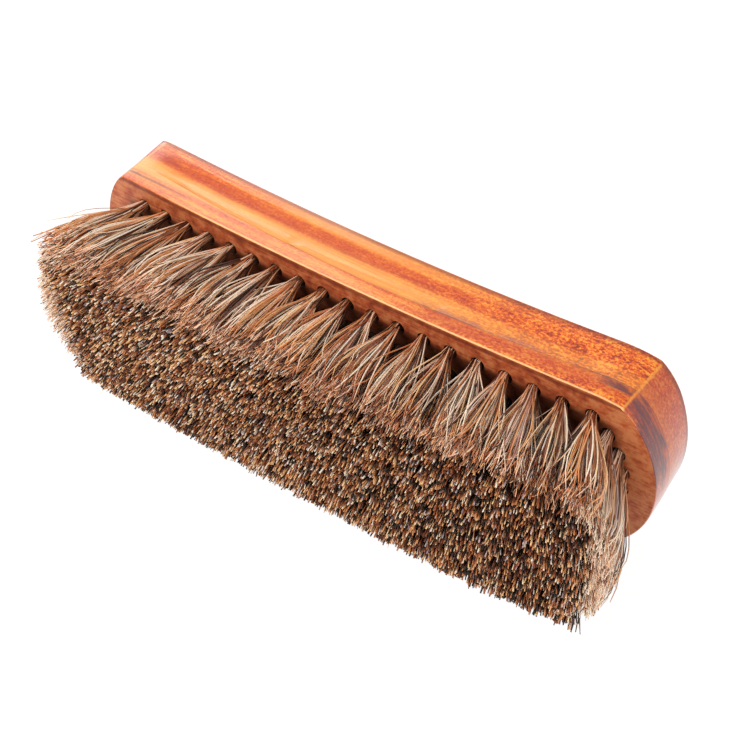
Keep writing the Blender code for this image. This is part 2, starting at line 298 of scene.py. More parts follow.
class NodeBench:
    """A node tree under construction."""

    def __init__(self, tree: bpy.types.NodeTree) -> None:
        """Keeps the tree."""
        self.tree = tree

    def node(
        self, kind: str, settings: dict[str, object], inputs: dict[Key, object], out: Key = 0
    ) -> Wire:
        """Adds any node.

        Args:
            kind: Blender's type of node, without its ShaderNode prefix.
            settings: Properties that are set first; "stops" fills a colour ramp.
            inputs: Values or wires for its sockets, by name or number.
            out: The output to return.

        Returns:
            The wire that leaves the node.
        """
        made = self.tree.nodes.new("ShaderNode" + kind)
        for key, value in settings.items():
            if key == "stops":
                self.fill_ramp(made.color_ramp, value)
            else:
                setattr(made, key, value)
        for key, value in inputs.items():
            self.plug(made.inputs[key], value)
        return Wire(self, made.outputs[out])

    def fill_ramp(self, ramp: bpy.types.ColorRamp, stops: Sequence[tuple[float, Colour]]) -> None:
        """Sets the stops of a colour ramp.

        Args:
            ramp: The ramp to fill.
            stops: Places from 0 to 1 with the colour at each.
        """
        while len(ramp.elements) > 1:
            ramp.elements.remove(ramp.elements[0])
        ramp.elements[0].position = stops[0][0]
        ramp.elements[0].color = (*stops[0][1], 1.0)
        for place, colour in stops[1:]:
            ramp.elements.new(place).color = (*colour, 1.0)

    def plug(self, socket: bpy.types.NodeSocket, value: object) -> None:
        """Links a wire to a socket, or sets the socket's own value.

        Args:
            socket: The input to fill.
            value: A wire, a number, a colour or a vector.
        """
        if isinstance(value, Wire):
            self.tree.links.new(value.socket, socket)
        elif isinstance(value, tuple) and len(socket.default_value) > len(value):
            socket.default_value = (*value, 1.0)
        else:
            socket.default_value = value

    def maths(self, operation: str, first: Value, second: Value) -> Wire:
        """Adds a Math node on one or two values."""
        return self.node("Math", {"operation": operation}, {0: first, 1: second})

    def direct_view(self) -> Wire:
        """Tells the rays that reach the viewer directly, or by a gloss or a glass, from all others.

        Returns:
            A share that is 1 for these rays and 0 for the others.
        """
        names = ("Is Camera Ray", "Is Glossy Ray", "Is Transmission Ray")
        camera, gloss, glass = (self.node("LightPath", {}, {}, out=name) for name in names)
        return self.maths("MAXIMUM", self.maths("MAXIMUM", camera, gloss), glass)


class ShaderBench(NodeBench):
    """A material under construction, with the patterns that the finishes are made of."""

    def __init__(self, name: str) -> None:
        """Starts a material with its own empty tree.

        Args:
            name: The finish's plain name.
        """
        self.material = bpy.data.materials.new(name)
        self.material.use_nodes = True
        super().__init__(self.material.node_tree)
        self.tree.nodes.clear()

    def blend(self, share: Value, first: object, second: object, mode: str = "MIX") -> Wire:
        """Mixes a share of the second colour into the first."""
        settings = {"data_type": "RGBA", "blend_type": mode}
        return self.node("Mix", settings, {0: share, 6: first, 7: second}, out=2)

    def step(self, value: Wire, low: float, high: float) -> Wire:
        """Rises smoothly from 0 at low to 1 at high.

        Args:
            value: The wire to look at.
            low: Where the rise starts.
            high: Where it ends; below low, the step falls instead.

        Returns:
            The share between the two.
        """
        first, last = (0.0, 1.0) if low < high else (1.0, 0.0)
        start, stop = sorted((low, high))
        inputs = {"Value": value, "From Min": start, "From Max": stop, "To Min": first, "To Max": last}
        return self.node("MapRange", {"interpolation_type": "SMOOTHSTEP"}, inputs)

    def place(self, origin: Place, scale: Place = (1.0, 1.0, 1.0)) -> Wire:
        """Gives the place on the piece from an origin, each axis drawn out by its scale.

        Args:
            origin: The point, in the frame, that becomes zero.
            scale: How fast the pattern runs along X, Y and Z.

        Returns:
            The scaled place as a vector.
        """
        seat = self.node("TexCoord", {}, {}, out="Object")
        shift = tuple(-part * size for part, size in zip(origin, scale))
        return self.node("Mapping", {}, {"Vector": seat, "Location": shift, "Scale": scale})

    def noise(self, origin: Place, kind: Noise) -> Wire:
        """Lays a noise over the piece from an origin."""
        return self.node("TexNoise", {}, {"Vector": self.place(origin, kind.scale), **kind.layers()})

    def ramp(self, share: Wire, *stops: tuple[float, Colour]) -> Wire:
        """Turns a share into the colours of a ramp's stops."""
        return self.node("ValToRGB", {"stops": stops}, {0: share})

    def split(self, kind: str, whole: Wire) -> tuple[Wire, ...]:
        """Takes a vector (SeparateXYZ) or a colour (SeparateColor) apart."""
        return tuple(self.node(kind, {}, {0: whole}, out=part) for part in range(3))

    def length(self, vector: Wire) -> Wire:
        """Measures a vector."""
        return self.node("VectorMath", {"operation": "LENGTH"}, {0: vector}, out="Value")

    def bump(self, height: Wire, strength: float, distance: float) -> Wire:
        """Turns a height into a normal."""
        return self.node("Bump", {}, {"Height": height, "Strength": strength, "Distance": distance})

    def show(self, shader: Wire) -> bpy.types.Material:
        """Links a shader to the material's output.

        Args:
            shader: The shader that covers the piece.

        Returns:
            The finished material.
        """
        output = self.tree.nodes.new("ShaderNodeOutputMaterial")
        self.plug(output.inputs["Surface"], shader)
        return self.material

    def finish(self, sockets: dict[str, object]) -> bpy.types.Material:
        """Covers the material with one Principled shader, filled by socket name."""
        return self.show(self.node("BsdfPrincipled", {}, sockets))


# Finishes


def srgb(red: int, green: int, blue: int) -> Colour:
    """Turns a screen colour of 0 to 255 into the linear colour that a shader takes."""
    shares = [part / 255 for part in (red, green, blue)]
    return tuple(s / 12.92 if s <= 0.04045 else ((s + 0.055) / 1.055) ** 2.4 for s in shares)


def lift(noise: Wire, tint: Span) -> Wire:
    """Adds what a noise gives to a base share; a tint holds the base, then the noise's part."""
    return noise * tint[1] + tint[0]


@dataclass(frozen=True)
class WoodWires:
    """Places and noises on the block that the steps of its finish share.

    Along runs along the brush, depth down from the bristle face, across over the width, and end
    outwards from the creases. Tip is 1 on the rounded ends. Of the noises, rings are long streaks,
    fibre the finest lines along the grain and cloud broad patches.
    """

    bench: ShaderBench
    along: Wire
    depth: Wire
    across: Wire
    end: Wire
    tip: Wire
    rings: Wire
    fibre: Wire
    cloud: Wire


@dataclass(frozen=True)
class LacqueredWood:
    """Red-brown stained hardwood under clear lacquer, with its grain along the brush.

    Each span says where a share rises from 0 to 1, or falls if it is written high to low. Each tint
    holds a base share and what a noise adds to it.
    """

    origin: Place
    highlight_gold: Colour = srgb(255, 206, 134)
    sheen_peach: Colour = srgb(252, 174, 76)
    amber: Colour = srgb(240, 156, 54)
    orange: Colour = srgb(224, 104, 28)
    russet: Colour = srgb(182, 62, 20)
    umber: Colour = srgb(112, 42, 22)
    plum: Colour = srgb(84, 46, 54)
    bruise: Colour = srgb(164, 92, 88)
    reflection_pink: Colour = srgb(232, 190, 184)
    wander: Noise = Noise((9.0, 60.0, 60.0), 3.0)
    rings: Noise = Noise(detail=3.0, roughness=0.6)
    fine: Noise = Noise((950.0, 1400.0, 1400.0), 2.0, 0.7)
    broad: Noise = Noise((140.0, 300.0, 300.0), 3.0)
    fibre: Noise = Noise((30.0, 1100.0, 1100.0), 3.0, 0.7)
    cloud: Noise = Noise((110.0, 160.0, 110.0), 4.0, 0.6)
    ragged: Noise = Noise((0.0, 520.0, 150.0), 4.0, 0.65)
    thin: Noise = Noise((0.0, 1300.0, 240.0), 3.0, 0.6)
    heart: Place = (0.0, -0.034, 0.062)
    heart_scale: Place = (0.02, 1.0, 1.0)
    ring_width: float = 0.0062
    ring_wander: float = 0.0034
    crease: float = 0.0884
    tip_span: Span = (-0.0002, 0.0010)
    back_span: Span = (0.02095, 0.0200)
    mottle_span: Span = (-0.01, 0.07)
    mottle_share: float = 0.62
    fine_share: float = 0.68
    streak_shares: Place = (0.8, 0.6, 0.9)
    streak_base: float = 0.1
    close_shares: Span = (3.4, 0.3)
    close_base: float = 0.57
    tone_stops: tuple[float, ...] = (0.26, 0.48, 0.68, 0.90)
    sheen_right_loss: float = 0.6
    sheen_tint: Span = (0.64, -0.8)
    sheen_top: Span = (0.0042, 0.0062)
    sheen_bottom: Span = (0.0138, 0.0098)
    band_top: Span = (0.0113, 0.0128)
    groove_bottom: Span = (0.0150, 0.0172)
    amber_span: Span = (-0.060, -0.020)
    amber_share: float = 0.55
    lip_depth: float = 0.0058
    lip_rise: float = 0.0018
    lip_shade_width: Span = (0.0004, 0.0001)
    lip_from_middle: Span = (0.012, 0.030)
    lip_cloud: Span = (0.30, 0.50)
    lip_shade_share: float = 0.75
    lip_band: tuple[Span, Span] = ((0.0002, -0.0006), (-0.0062, -0.0040))
    lip_band_share: float = 0.50
    patch_below: float = 0.0011
    patch_width: Span = (0.0014, 0.0004)
    patch_along: float = 0.040
    patch_length: Span = (0.024, 0.012)
    patch_cloud: Span = (0.30, 0.55)
    patch_share: float = 0.65
    dark_patch_below: float = -0.0012
    dark_patch_width: Span = (0.0021, 0.0008)
    dark_patch_ends: tuple[Span, Span] = ((-0.0130, -0.0050), (0.0, -0.0008))
    dark_patch_side: Span = (0.0, 0.010)
    dark_patch_cloud: Span = (0.36, 0.52)
    dark_patch_share: float = 0.85
    streak_depth: float = 0.0041
    streak_rise: float = 0.0006
    streak_span: Span = (-0.050, -0.088)
    streak_width: Span = (0.0008, 0.0002)
    streak_wander: float = 0.0008
    streak_tint: Span = (0.45, 0.7)
    stain_place: Place = (0.0, 0.0034, 0.0140)
    stain_reach: Span = (0.0040, 0.0125)
    stain_share: float = 0.58
    blot_wander: Span = (2.2, 1.4)
    blot_edge: Span = (1.35, 0.80)
    blot_share: float = 0.88
    thin_span: Span = (0.64, 0.46)
    thin_tint: Span = (0.55, 0.45)
    reflection_span: Span = (0.006, -0.020)
    reflection_share: float = 0.45
    crease_highlight_width: Span = (0.0005, 0.0001)
    crease_highlight_end: Span = (0.0204, 0.0196)
    crease_highlight_tint: Span = (0.15, 0.6)
    arris_span: Span = (0.0007, 0.00028)
    arris_lit: Span = (-0.084, -0.045)
    arris_tint: Span = (0.30, 0.7)
    rim_shade_spans: tuple[Span, Span] = ((0.0186, 0.0204), (0.02095, 0.0204))
    rim_shade_tint: Span = (0.45, 0.5)

    def grain(self, bench: ShaderBench) -> Wire:
        """Draws the growth rings, which show as long streaks.

        Args:
            bench: The material under construction.

        Returns:
            A share from 0, pale early wood, to 1, dark late wood.
        """
        wander = bench.noise(self.origin, self.wander) - 0.5
        heart = tuple(start + part for start, part in zip(self.origin, self.heart))
        radius = bench.length(bench.place(heart, self.heart_scale))
        ring = (radius + wander * (2 * self.ring_wander)) * (1 / self.ring_width)
        return bench.node("TexNoise", {"noise_dimensions": "1D"}, {"W": ring, **self.rings.layers()})

    def mottle(self, bench: ShaderBench) -> Wire:
        """Draws the fine figure, which breaks the streaks up into small flecks."""
        fine, broad = (bench.noise(self.origin, kind) for kind in (self.fine, self.broad))
        return fine * self.fine_share + broad * (1 - self.fine_share)

    def wires(self, bench: ShaderBench) -> WoodWires:
        """Lays out the places and noises that the steps share.

        Args:
            bench: The material under construction.

        Returns:
            The shared wires.
        """
        along, depth, across = bench.split("SeparateXYZ", bench.place(self.origin))
        end = abs(along) - self.crease
        tip = bench.step(end, *self.tip_span) * bench.step(depth, *self.back_span)
        fibre, cloud = (bench.noise(self.origin, kind) for kind in (self.fibre, self.cloud))
        return WoodWires(bench, along, depth, across, end, tip, self.grain(bench), fibre, cloud)

    def figure(self, wood: WoodWires) -> Wire:
        """Colours the wood: long streaks at the left end, a close mottle at the right one, and a
        painted sheen band along the side.

        Args:
            wood: Places and noises on the block.

        Returns:
            The colour of the stained wood, with its painted sheen.
        """
        bench, depth = wood.bench, wood.depth
        fibre = wood.fibre - 0.5
        flecks = self.mottle(bench) - 0.5
        right = bench.step(wood.along, *self.mottle_span)
        from_rings, from_fibre, from_flecks = self.streak_shares
        streaks = wood.rings * from_rings + self.streak_base + fibre * from_fibre + flecks * from_flecks
        from_flecks, from_fibre = self.close_shares
        close = flecks * from_flecks + fibre * from_fibre + self.close_base
        mottled = right * self.mottle_share
        tones = (self.amber, self.orange, self.russet, self.umber)
        colour = bench.ramp(streaks * (1 - mottled) + close * mottled, *zip(self.tone_stops, tones))
        # Painted sheen: a pale peach band along the middle of the side, fading towards the right end,
        # stands in for a softbox's reflection.
        pale = bench.step(depth, *self.sheen_top) * bench.step(depth, *self.sheen_bottom)
        pale = pale * (1 - right * self.sheen_right_loss) * lift(fibre, self.sheen_tint)
        colour = bench.blend(pale, colour, self.sheen_peach)
        band = bench.step(depth, *self.band_top) * bench.step(depth, *reversed(self.groove_bottom))
        colour = bench.blend(band * (1 - right) * self.mottle(bench), colour, self.russet)
        edge = bench.step(depth, *self.groove_bottom) * bench.step(wood.along, *self.amber_span)
        return bench.blend(edge * (1 - right) * self.amber_share, colour, self.amber)

    def lip(self, wood: WoodWires, colour: Wire) -> Wire:
        """Darkens the groove's lip: a thin line of painted shade along it, a purple-grey patch just
        inside the groove, and darker patches just below it near the right crease.

        Args:
            wood: Places and noises on the block.
            colour: The colour so far.

        Returns:
            The darkened colour.
        """
        bench, along, cloud = wood.bench, wood.along, wood.cloud
        below = wood.depth - self.lip_depth - along * along * (self.lip_rise / self.crease**2)
        from_middle = bench.step(along, *self.lip_from_middle)
        upper, lower = (bench.step(below, *span) for span in self.lip_band)
        colour = bench.blend(upper * lower * from_middle * self.lip_band_share, colour, self.russet)
        patch = bench.step(abs(below - self.patch_below), *self.patch_width)
        patch = patch * bench.step(abs(along - self.patch_along), *self.patch_length)
        patch = patch * bench.step(cloud, *self.patch_cloud) * self.patch_share
        colour = bench.blend(patch, colour, self.bruise)
        # The thin line is painted shade along the lip's step.
        line = bench.step(abs(below), *self.lip_shade_width) * from_middle * bench.step(cloud, *self.lip_cloud)
        start, stop = (bench.step(wood.end, *span) for span in self.dark_patch_ends)
        dark_patch = start * stop * bench.step(abs(below - self.dark_patch_below), *self.dark_patch_width)
        dark_patch = dark_patch * bench.step(along, *self.dark_patch_side) * bench.step(cloud, *self.dark_patch_cloud)
        dark = bench.maths("MAXIMUM", line * self.lip_shade_share, dark_patch * self.dark_patch_share)
        return bench.blend(dark, colour, self.plum)

    def streak(self, wood: WoodWires, colour: Wire) -> Wire:
        """Draws the dark streak that runs from the left end along the arris and fades.

        Args:
            wood: Places and noises on the block.
            colour: The colour so far.

        Returns:
            The streaked colour.
        """
        near_end = wood.bench.step(wood.along, *self.streak_span)
        centre = wood.depth - self.streak_depth + near_end * self.streak_rise
        away = abs(centre - (wood.cloud - 0.5) * self.streak_wander)
        share = wood.bench.step(away, *self.streak_width) * near_end
        return wood.bench.blend(share * lift(wood.cloud, self.streak_tint), colour, self.umber)

    def stain(self, wood: WoodWires, colour: Wire) -> Wire:
        """Stains the rounded ends: redder all over, with a dark blot by the upper crease, and a painted
        pale reflection on their lower part.

        Args:
            wood: Places and noises on the block.
            colour: The colour so far.

        Returns:
            The stained colour, with its painted reflection.
        """
        bench, tip = wood.bench, wood.tip
        seat = tuple(start + part for start, part in zip(self.origin, self.stain_place))
        away = bench.length(bench.place(seat, (0.0, *(1 / reach for reach in self.stain_reach))))
        ragged, thin = (bench.noise(self.origin, kind) for kind in (self.ragged, self.thin))
        by_ragged, by_cloud = self.blot_wander
        away = away + (ragged - 0.5) * by_ragged + (wood.cloud - 0.5) * by_cloud
        thin = lift(bench.step(thin, *self.thin_span), self.thin_tint)
        blot = bench.step(away, *self.blot_edge) * thin
        colour = bench.blend(tip * self.stain_share, colour, self.russet)
        colour = bench.blend(tip * blot * self.blot_share, colour, self.plum)
        # Painted reflection of the white floor: the lower part of each end is paled towards pink.
        pale = tip * bench.step(wood.across, *self.reflection_span) * self.reflection_share
        return bench.blend(pale, colour, self.reflection_pink)

    def edge_light_and_shade(self, wood: WoodWires, colour: Wire) -> Wire:
        """Paints highlights on the arris and down the creases, and painted shade on the rounded rim of
        the back.

        Args:
            wood: Places and noises on the block.
            colour: The colour so far.

        Returns:
            The colour with its painted highlights and shade.
        """
        bench, depth, cloud = wood.bench, wood.depth, wood.cloud
        # Painted shade on the rounded rim of the back, where it turns away from the light.
        upper, lower = (bench.step(depth, *span) for span in self.rim_shade_spans)
        colour = bench.blend(upper * lower * lift(cloud, self.rim_shade_tint), colour, self.umber)
        # Painted highlight: a thin pale line down each crease.
        crease_highlight = bench.step(abs(wood.end), *self.crease_highlight_width) * bench.step(depth, *self.crease_highlight_end)
        colour = bench.blend(crease_highlight * lift(cloud, self.crease_highlight_tint), colour, self.sheen_peach)
        # Painted highlight: a gold line along the arris of the bristle face, everywhere except at the
        # left end.
        arris_highlight = bench.step(depth, *self.arris_span) * (1 - wood.tip)
        lit = bench.step(wood.along, *self.arris_lit) * lift(cloud, self.arris_tint)
        return bench.blend(arris_highlight * lit, colour, self.highlight_gold)

    def material(self) -> bpy.types.Material:
        """Builds the material of the block's sides, ends and back.

        Returns:
            The finished material.
        """
        bench = ShaderBench("lacquered_wood")
        wood = self.wires(bench)
        colour = self.figure(wood)
        for coat in (self.lip, self.streak, self.stain, self.edge_light_and_shade):
            colour = coat(wood, colour)
        return bench.finish({
            "Base Color": colour,
            "Roughness": 0.40 + wood.fibre * 0.10,
            "Specular IOR Level": 0.25,
            "Coat Weight": 0.34 + wood.tip * 0.5,
            "Coat Roughness": 0.14,
            "Normal": bench.bump(wood.fibre * 0.6 + wood.rings * 0.4, 0.10, 0.0004),
        })


@dataclass(frozen=True)
class FaceWood:
    """The drilled face of the block: stained like the rest but duller, with painted shade under the
    hair and along the arris, and painted light at the right end.
    """

    origin: Place
    tan: Colour = srgb(206, 128, 80)
    brown: Colour = srgb(184, 90, 50)
    dark: Colour = srgb(122, 52, 32)
    hair_shade_umber: Colour = srgb(78, 36, 22)
    crease: float = 0.0884
    rim_half_width: float = 0.0259
    rim_waist: float = 0.0027
    rim_shadow_width: Span = (0.0010, 0.0002)
    row_half_width: float = 0.0191
    row_waist: float = 0.0017
    row_edge: Span = (0.0006, -0.0016)
    row_end: Span = (0.0900, 0.0850)
    row_wander: float = 0.003
    pale_left: Span = (-0.04, -0.095)
    painted_light_right: Span = (0.070, 0.094)
    pale_shares: Span = (0.08, 0.15)
    tone_stops: tuple[float, ...] = (0.26, 0.50, 0.76)
    grain: Noise = Noise((260.0, 320.0, 320.0), 4.0, 0.65)
    grain_share: float = 1.5
    fibre: Noise = Noise((60.0, 1500.0, 1500.0))
    fibre_share: float = 0.5
    rim_shade_tint: Span = (0.35, 0.8)
    hair_shade_share: float = 0.75

    def material(self) -> bpy.types.Material:
        """Builds the material of the bristle face.

        Returns:
            The finished material.
        """
        bench = ShaderBench("bristle_face_wood")
        grain, fibre = (bench.noise(self.origin, kind) for kind in (self.grain, self.fibre))
        along, _, across = bench.split("SeparateXYZ", bench.place(self.origin))
        bow = along * along * (1 / self.crease**2) - 1
        # The face is made lighter towards the left end, and given painted light towards the right end,
        # where the hair shades it.
        at_left, at_right = (bench.step(along, *span) for span in (self.pale_left, self.painted_light_right))
        pale = at_left * self.pale_shares[0] + at_right * self.pale_shares[1]
        shade = (grain - 0.5) * self.grain_share + 0.5 + (fibre - 0.5) * self.fibre_share - pale
        colour = bench.ramp(shade, *zip(self.tone_stops, (self.tan, self.brown, self.dark)))
        # Painted shadow: a dark line along the face just under the arris, in the dark tone.
        line = bench.step(abs(across - bow * self.rim_waist - self.rim_half_width), *self.rim_shadow_width)
        colour = bench.blend(line * lift(grain, self.rim_shade_tint), colour, self.dark)
        # Painted shade on the face under and between the tufts, where the hair shades it.
        bed = across - bow * self.row_waist - self.row_half_width + (grain - 0.5) * self.row_wander
        under = bench.step(bed, *self.row_edge) * bench.step(abs(along), *self.row_end)
        colour = bench.blend(under * self.hair_shade_share, colour, self.hair_shade_umber)
        return bench.finish({
            "Base Color": colour,
            "Roughness": 0.52 + fibre * 0.12,
            "Specular IOR Level": 0.30,
            "Coat Weight": 0.15,
            "Coat Roughness": 0.35,
            "Normal": bench.bump(grain, 0.25, 0.0006),
        })


@dataclass(frozen=True)
class HoleWood:
    """The walls of the drilled holes, painted dark brown as shade."""

    origin: Place
    brown: Colour = srgb(112, 56, 32)
    dark: Colour = srgb(70, 34, 22)
    rings: Noise = Noise((300.0, 1400.0, 300.0))

    def material(self) -> bpy.types.Material:
        """Builds the material of the hole walls.

        Returns:
            The finished material.
        """
        bench = ShaderBench("hole_wall_wood")
        rings = bench.noise(self.origin, self.rings)
        # Painted shade: the walls are coloured dark for the shade inside the holes.
        return bench.finish({
            "Base Color": bench.blend(rings, self.brown, self.dark),
            "Roughness": 0.8,
            "Normal": bench.bump(rings, 0.3, 0.0003),
        })


@dataclass(frozen=True)
class Horsehair:
    """Undyed mixed horsehair: black, brown, tan, cream and grey hairs side by side."""

    name: str = "horsehair"
    warm_shade_and_gloss: float = 0.0
    black: Colour = srgb(18, 11, 9)
    umber: Colour = srgb(76, 40, 28)
    brown: Colour = srgb(158, 86, 52)
    tan: Colour = srgb(218, 146, 92)
    blond: Colour = srgb(250, 202, 142)
    cream: Colour = srgb(255, 240, 218)
    grey: Colour = srgb(216, 200, 202)
    warm_shade_tint: Colour = srgb(244, 154, 78)
    tone_stops: tuple[float, ...] = (0.12, 0.26, 0.44, 0.60, 0.76, 0.92)
    patch: Noise = Noise((300.0, 300.0, 300.0))
    patch_share: float = 0.16
    grey_lots: Span = (0.94, 0.96)
    grey_share: float = 0.65
    warm_shade_rise: Span = (0.95, 0.10)
    black_shade_rise: float = 0.60
    dark_share: float = 0.92
    gloss_effect: float = 0.15

    def material(self) -> bpy.types.Material:
        """Builds the material that many hairs share; its attribute tells the hairs apart and carries
        their painted shade.

        Returns:
            The finished material.
        """
        bench = ShaderBench(self.name)
        data = bench.node("Attribute", {"attribute_name": HAIR_ATTRIBUTE}, {}, out="Color")
        tone, rise, chance = bench.split("SeparateColor", data)
        patch = bench.noise((0.0, 0.0, 0.0), self.patch)
        tones = (self.black, self.umber, self.brown, self.tan, self.blond, self.cream)
        colour = bench.ramp(tone + (patch - 0.5) * self.patch_share, *zip(self.tone_stops, tones))
        colour = bench.blend(bench.step(chance, *self.grey_lots) * self.grey_share, colour, self.grey)
        # Painted shade: below its lit part each hair is darkened, first warmly, then towards black.
        warm_shade = bench.step(rise, *self.warm_shade_rise) * self.warm_shade_and_gloss
        colour = bench.blend(warm_shade, colour, self.warm_shade_tint, mode="MULTIPLY")
        gloss = self.warm_shade_and_gloss * self.gloss_effect
        dark = bench.step(rise, self.black_shade_rise - gloss, 0.0) * self.dark_share
        return bench.finish({
            "Base Color": bench.blend(dark, colour, self.black),
            "Roughness": 0.50 - gloss + (1 - rise) * 0.10,
            "Specular IOR Level": 0.35 + self.warm_shade_and_gloss * 0.4,
            "Specular Tint": self.cream,
        })


@dataclass(frozen=True)
class AnchorSteel:
    """Flat steel wire of the anchors, dull from the wire mill."""

    pale: Colour = (0.56, 0.55, 0.53)
    dark: Colour = (0.36, 0.35, 0.34)
    drawn: Noise = Noise((200.0, 6000.0, 6000.0), 3.0)

    def material(self) -> bpy.types.Material:
        """Builds the anchors' material.

        Returns:
            The finished material.
        """
        bench = ShaderBench("anchor_steel")
        drawn = bench.noise((0.0, 0.0, 0.0), self.drawn)
        return bench.finish({
            "Base Color": bench.blend(drawn, self.pale, self.dark),
            "Metallic": 1.0,
            "Roughness": 0.30 + drawn * 0.25,
            "Normal": bench.bump(drawn, 0.2, 0.0001),
        })


# The block


@dataclass(frozen=True)
class Plan:
    """Outline of the block seen from its bristles, at one depth."""

    half_length: float
    end_reach: float
    half_width: float
    waist: float
    tucks: Span
    tuck_reaches: Span
    left_draw: float

    @property
    def crease(self) -> float:
        """Where along the brush the rounded ends meet the long sides."""
        return self.half_length - self.end_reach

    @property
    def end_radius(self) -> float:
        """Radius of the rounded ends."""
        return (self.end_reach**2 + self.half_width**2) / (2 * self.end_reach)

    def corner(self, end: End, tucked: bool) -> Vector:
        """Places the crease between one rounded end and the side at positive Y.

        Args:
            end: Which end.
            tucked: Whether the crease is drawn in; the right end was sanded rounder.

        Returns:
            The crease's place on the outline.
        """
        place = Vector((end.value * self.crease, self.half_width))
        if tucked:
            out_of_end = Vector((end.value * (self.end_radius - self.end_reach), self.half_width))
            out_of_both = out_of_end / self.end_radius + Vector((0.0, 1.0))
            place -= self.tucks[end is End.RIGHT] * out_of_both.normalized()
        return place


@dataclass
class TuftPattern:
    """Where the tufts stand on the bristle face, and where their tips end."""

    crease: float
    half_width: float
    column_count: int = 19
    column_margin: float = 0.00821
    row_margin: float = 0.0080
    row_waist: float = 0.0017
    inner_row_shares: tuple[float, ...] = (0.5, 0.0, -0.5, -1.0)
    end_reach: float = 0.0100
    end_count: int = 6
    length: float = 0.0393
    length_fall: float = 0.0056
    tip_lean: float = 0.0076
    end_flare: float = 0.0058
    near_flare: float = 0.0082
    far_flare: float = 0.0059
    far_tuck: float = 0.0056
    left_tuck: float = 0.0028
    left_skew: float = 0.0018
    crown: float = 0.0036

    @property
    def row_half_width(self) -> float:
        """How far the outer rows stand from the middle, at the creases."""
        return self.half_width - self.row_margin

    def column_x(self, column: int) -> float:
        """Returns the place of a column along the brush."""
        last = self.crease - self.column_margin
        return last * (2 * column / (self.column_count - 1) - 1)

    def row_y(self, x: float, share: float) -> float:
        """Returns the place of a row across the brush; rows follow the waist."""
        return share * (self.row_half_width - self.row_waist * (1 - (x / self.crease) ** 2))

    def row(self, share: float, columns: Iterable[int]) -> list[Vector]:
        """Lists the places of one row's tufts; its share runs from 1, near, to -1, far."""
        spots = [self.column_x(column) for column in columns]
        return [Vector((x, self.row_y(x, share))) for x in spots]

    def end(self, end: End) -> list[Vector]:
        """Lists the tufts that turn round one end, from the near row to the far row.

        Args:
            end: Which end.

        Returns:
            Places on the bristle face.
        """
        last_x = self.column_x(self.column_count - 1)
        last_y = self.row_y(last_x, 1.0)
        radius = (self.end_reach**2 + last_y**2) / (2 * self.end_reach)
        half_angle = math.atan2(last_y, radius - self.end_reach)
        places = []
        for number in range(1, self.end_count + 1):
            angle = half_angle * (1 - 2 * number / (self.end_count + 1))
            x = last_x + self.end_reach - radius * (1 - math.cos(angle))
            places.append(Vector((end.value * x, radius * math.sin(angle))))
        return places

    def tip(self, root: Vector) -> Vector:
        """Returns where the middle of a tuft ends, as the field fans out and leans.

        Args:
            root: The tuft's place on the bristle face.

        Returns:
            Its tip, whose Z is the length of its hair.
        """
        along = root.x / self.crease
        across = root.y / self.row_half_width
        flare = self.near_flare if root.y > 0 else self.far_flare
        tuck = self.far_tuck * max(along, 0.0) ** 3 * max(-across, 0.0)
        left_tuck = self.left_tuck * max(-along, 0.0) ** 3 * max(-across, 0.0)
        skew = self.left_skew * max(-along, 0.0) ** 2 * across
        x = root.x + self.tip_lean + self.end_flare * along - tuck / 2 - skew
        y = root.y + flare * across + tuck + left_tuck + self.crown * (1 - across**2) * (1 - along**4)
        return Vector((x, y, self.length - self.length_fall * ((along + 1) / 2) ** 3))

    def places(self) -> list[Vector]:
        """Lists the places of all tufts: the rows from near to far, then both ends."""
        rows = [self.row(share, range(self.column_count)) for share in (1.0, *self.inner_row_shares)]
        return sum(rows + [self.end(end) for end in End], [])


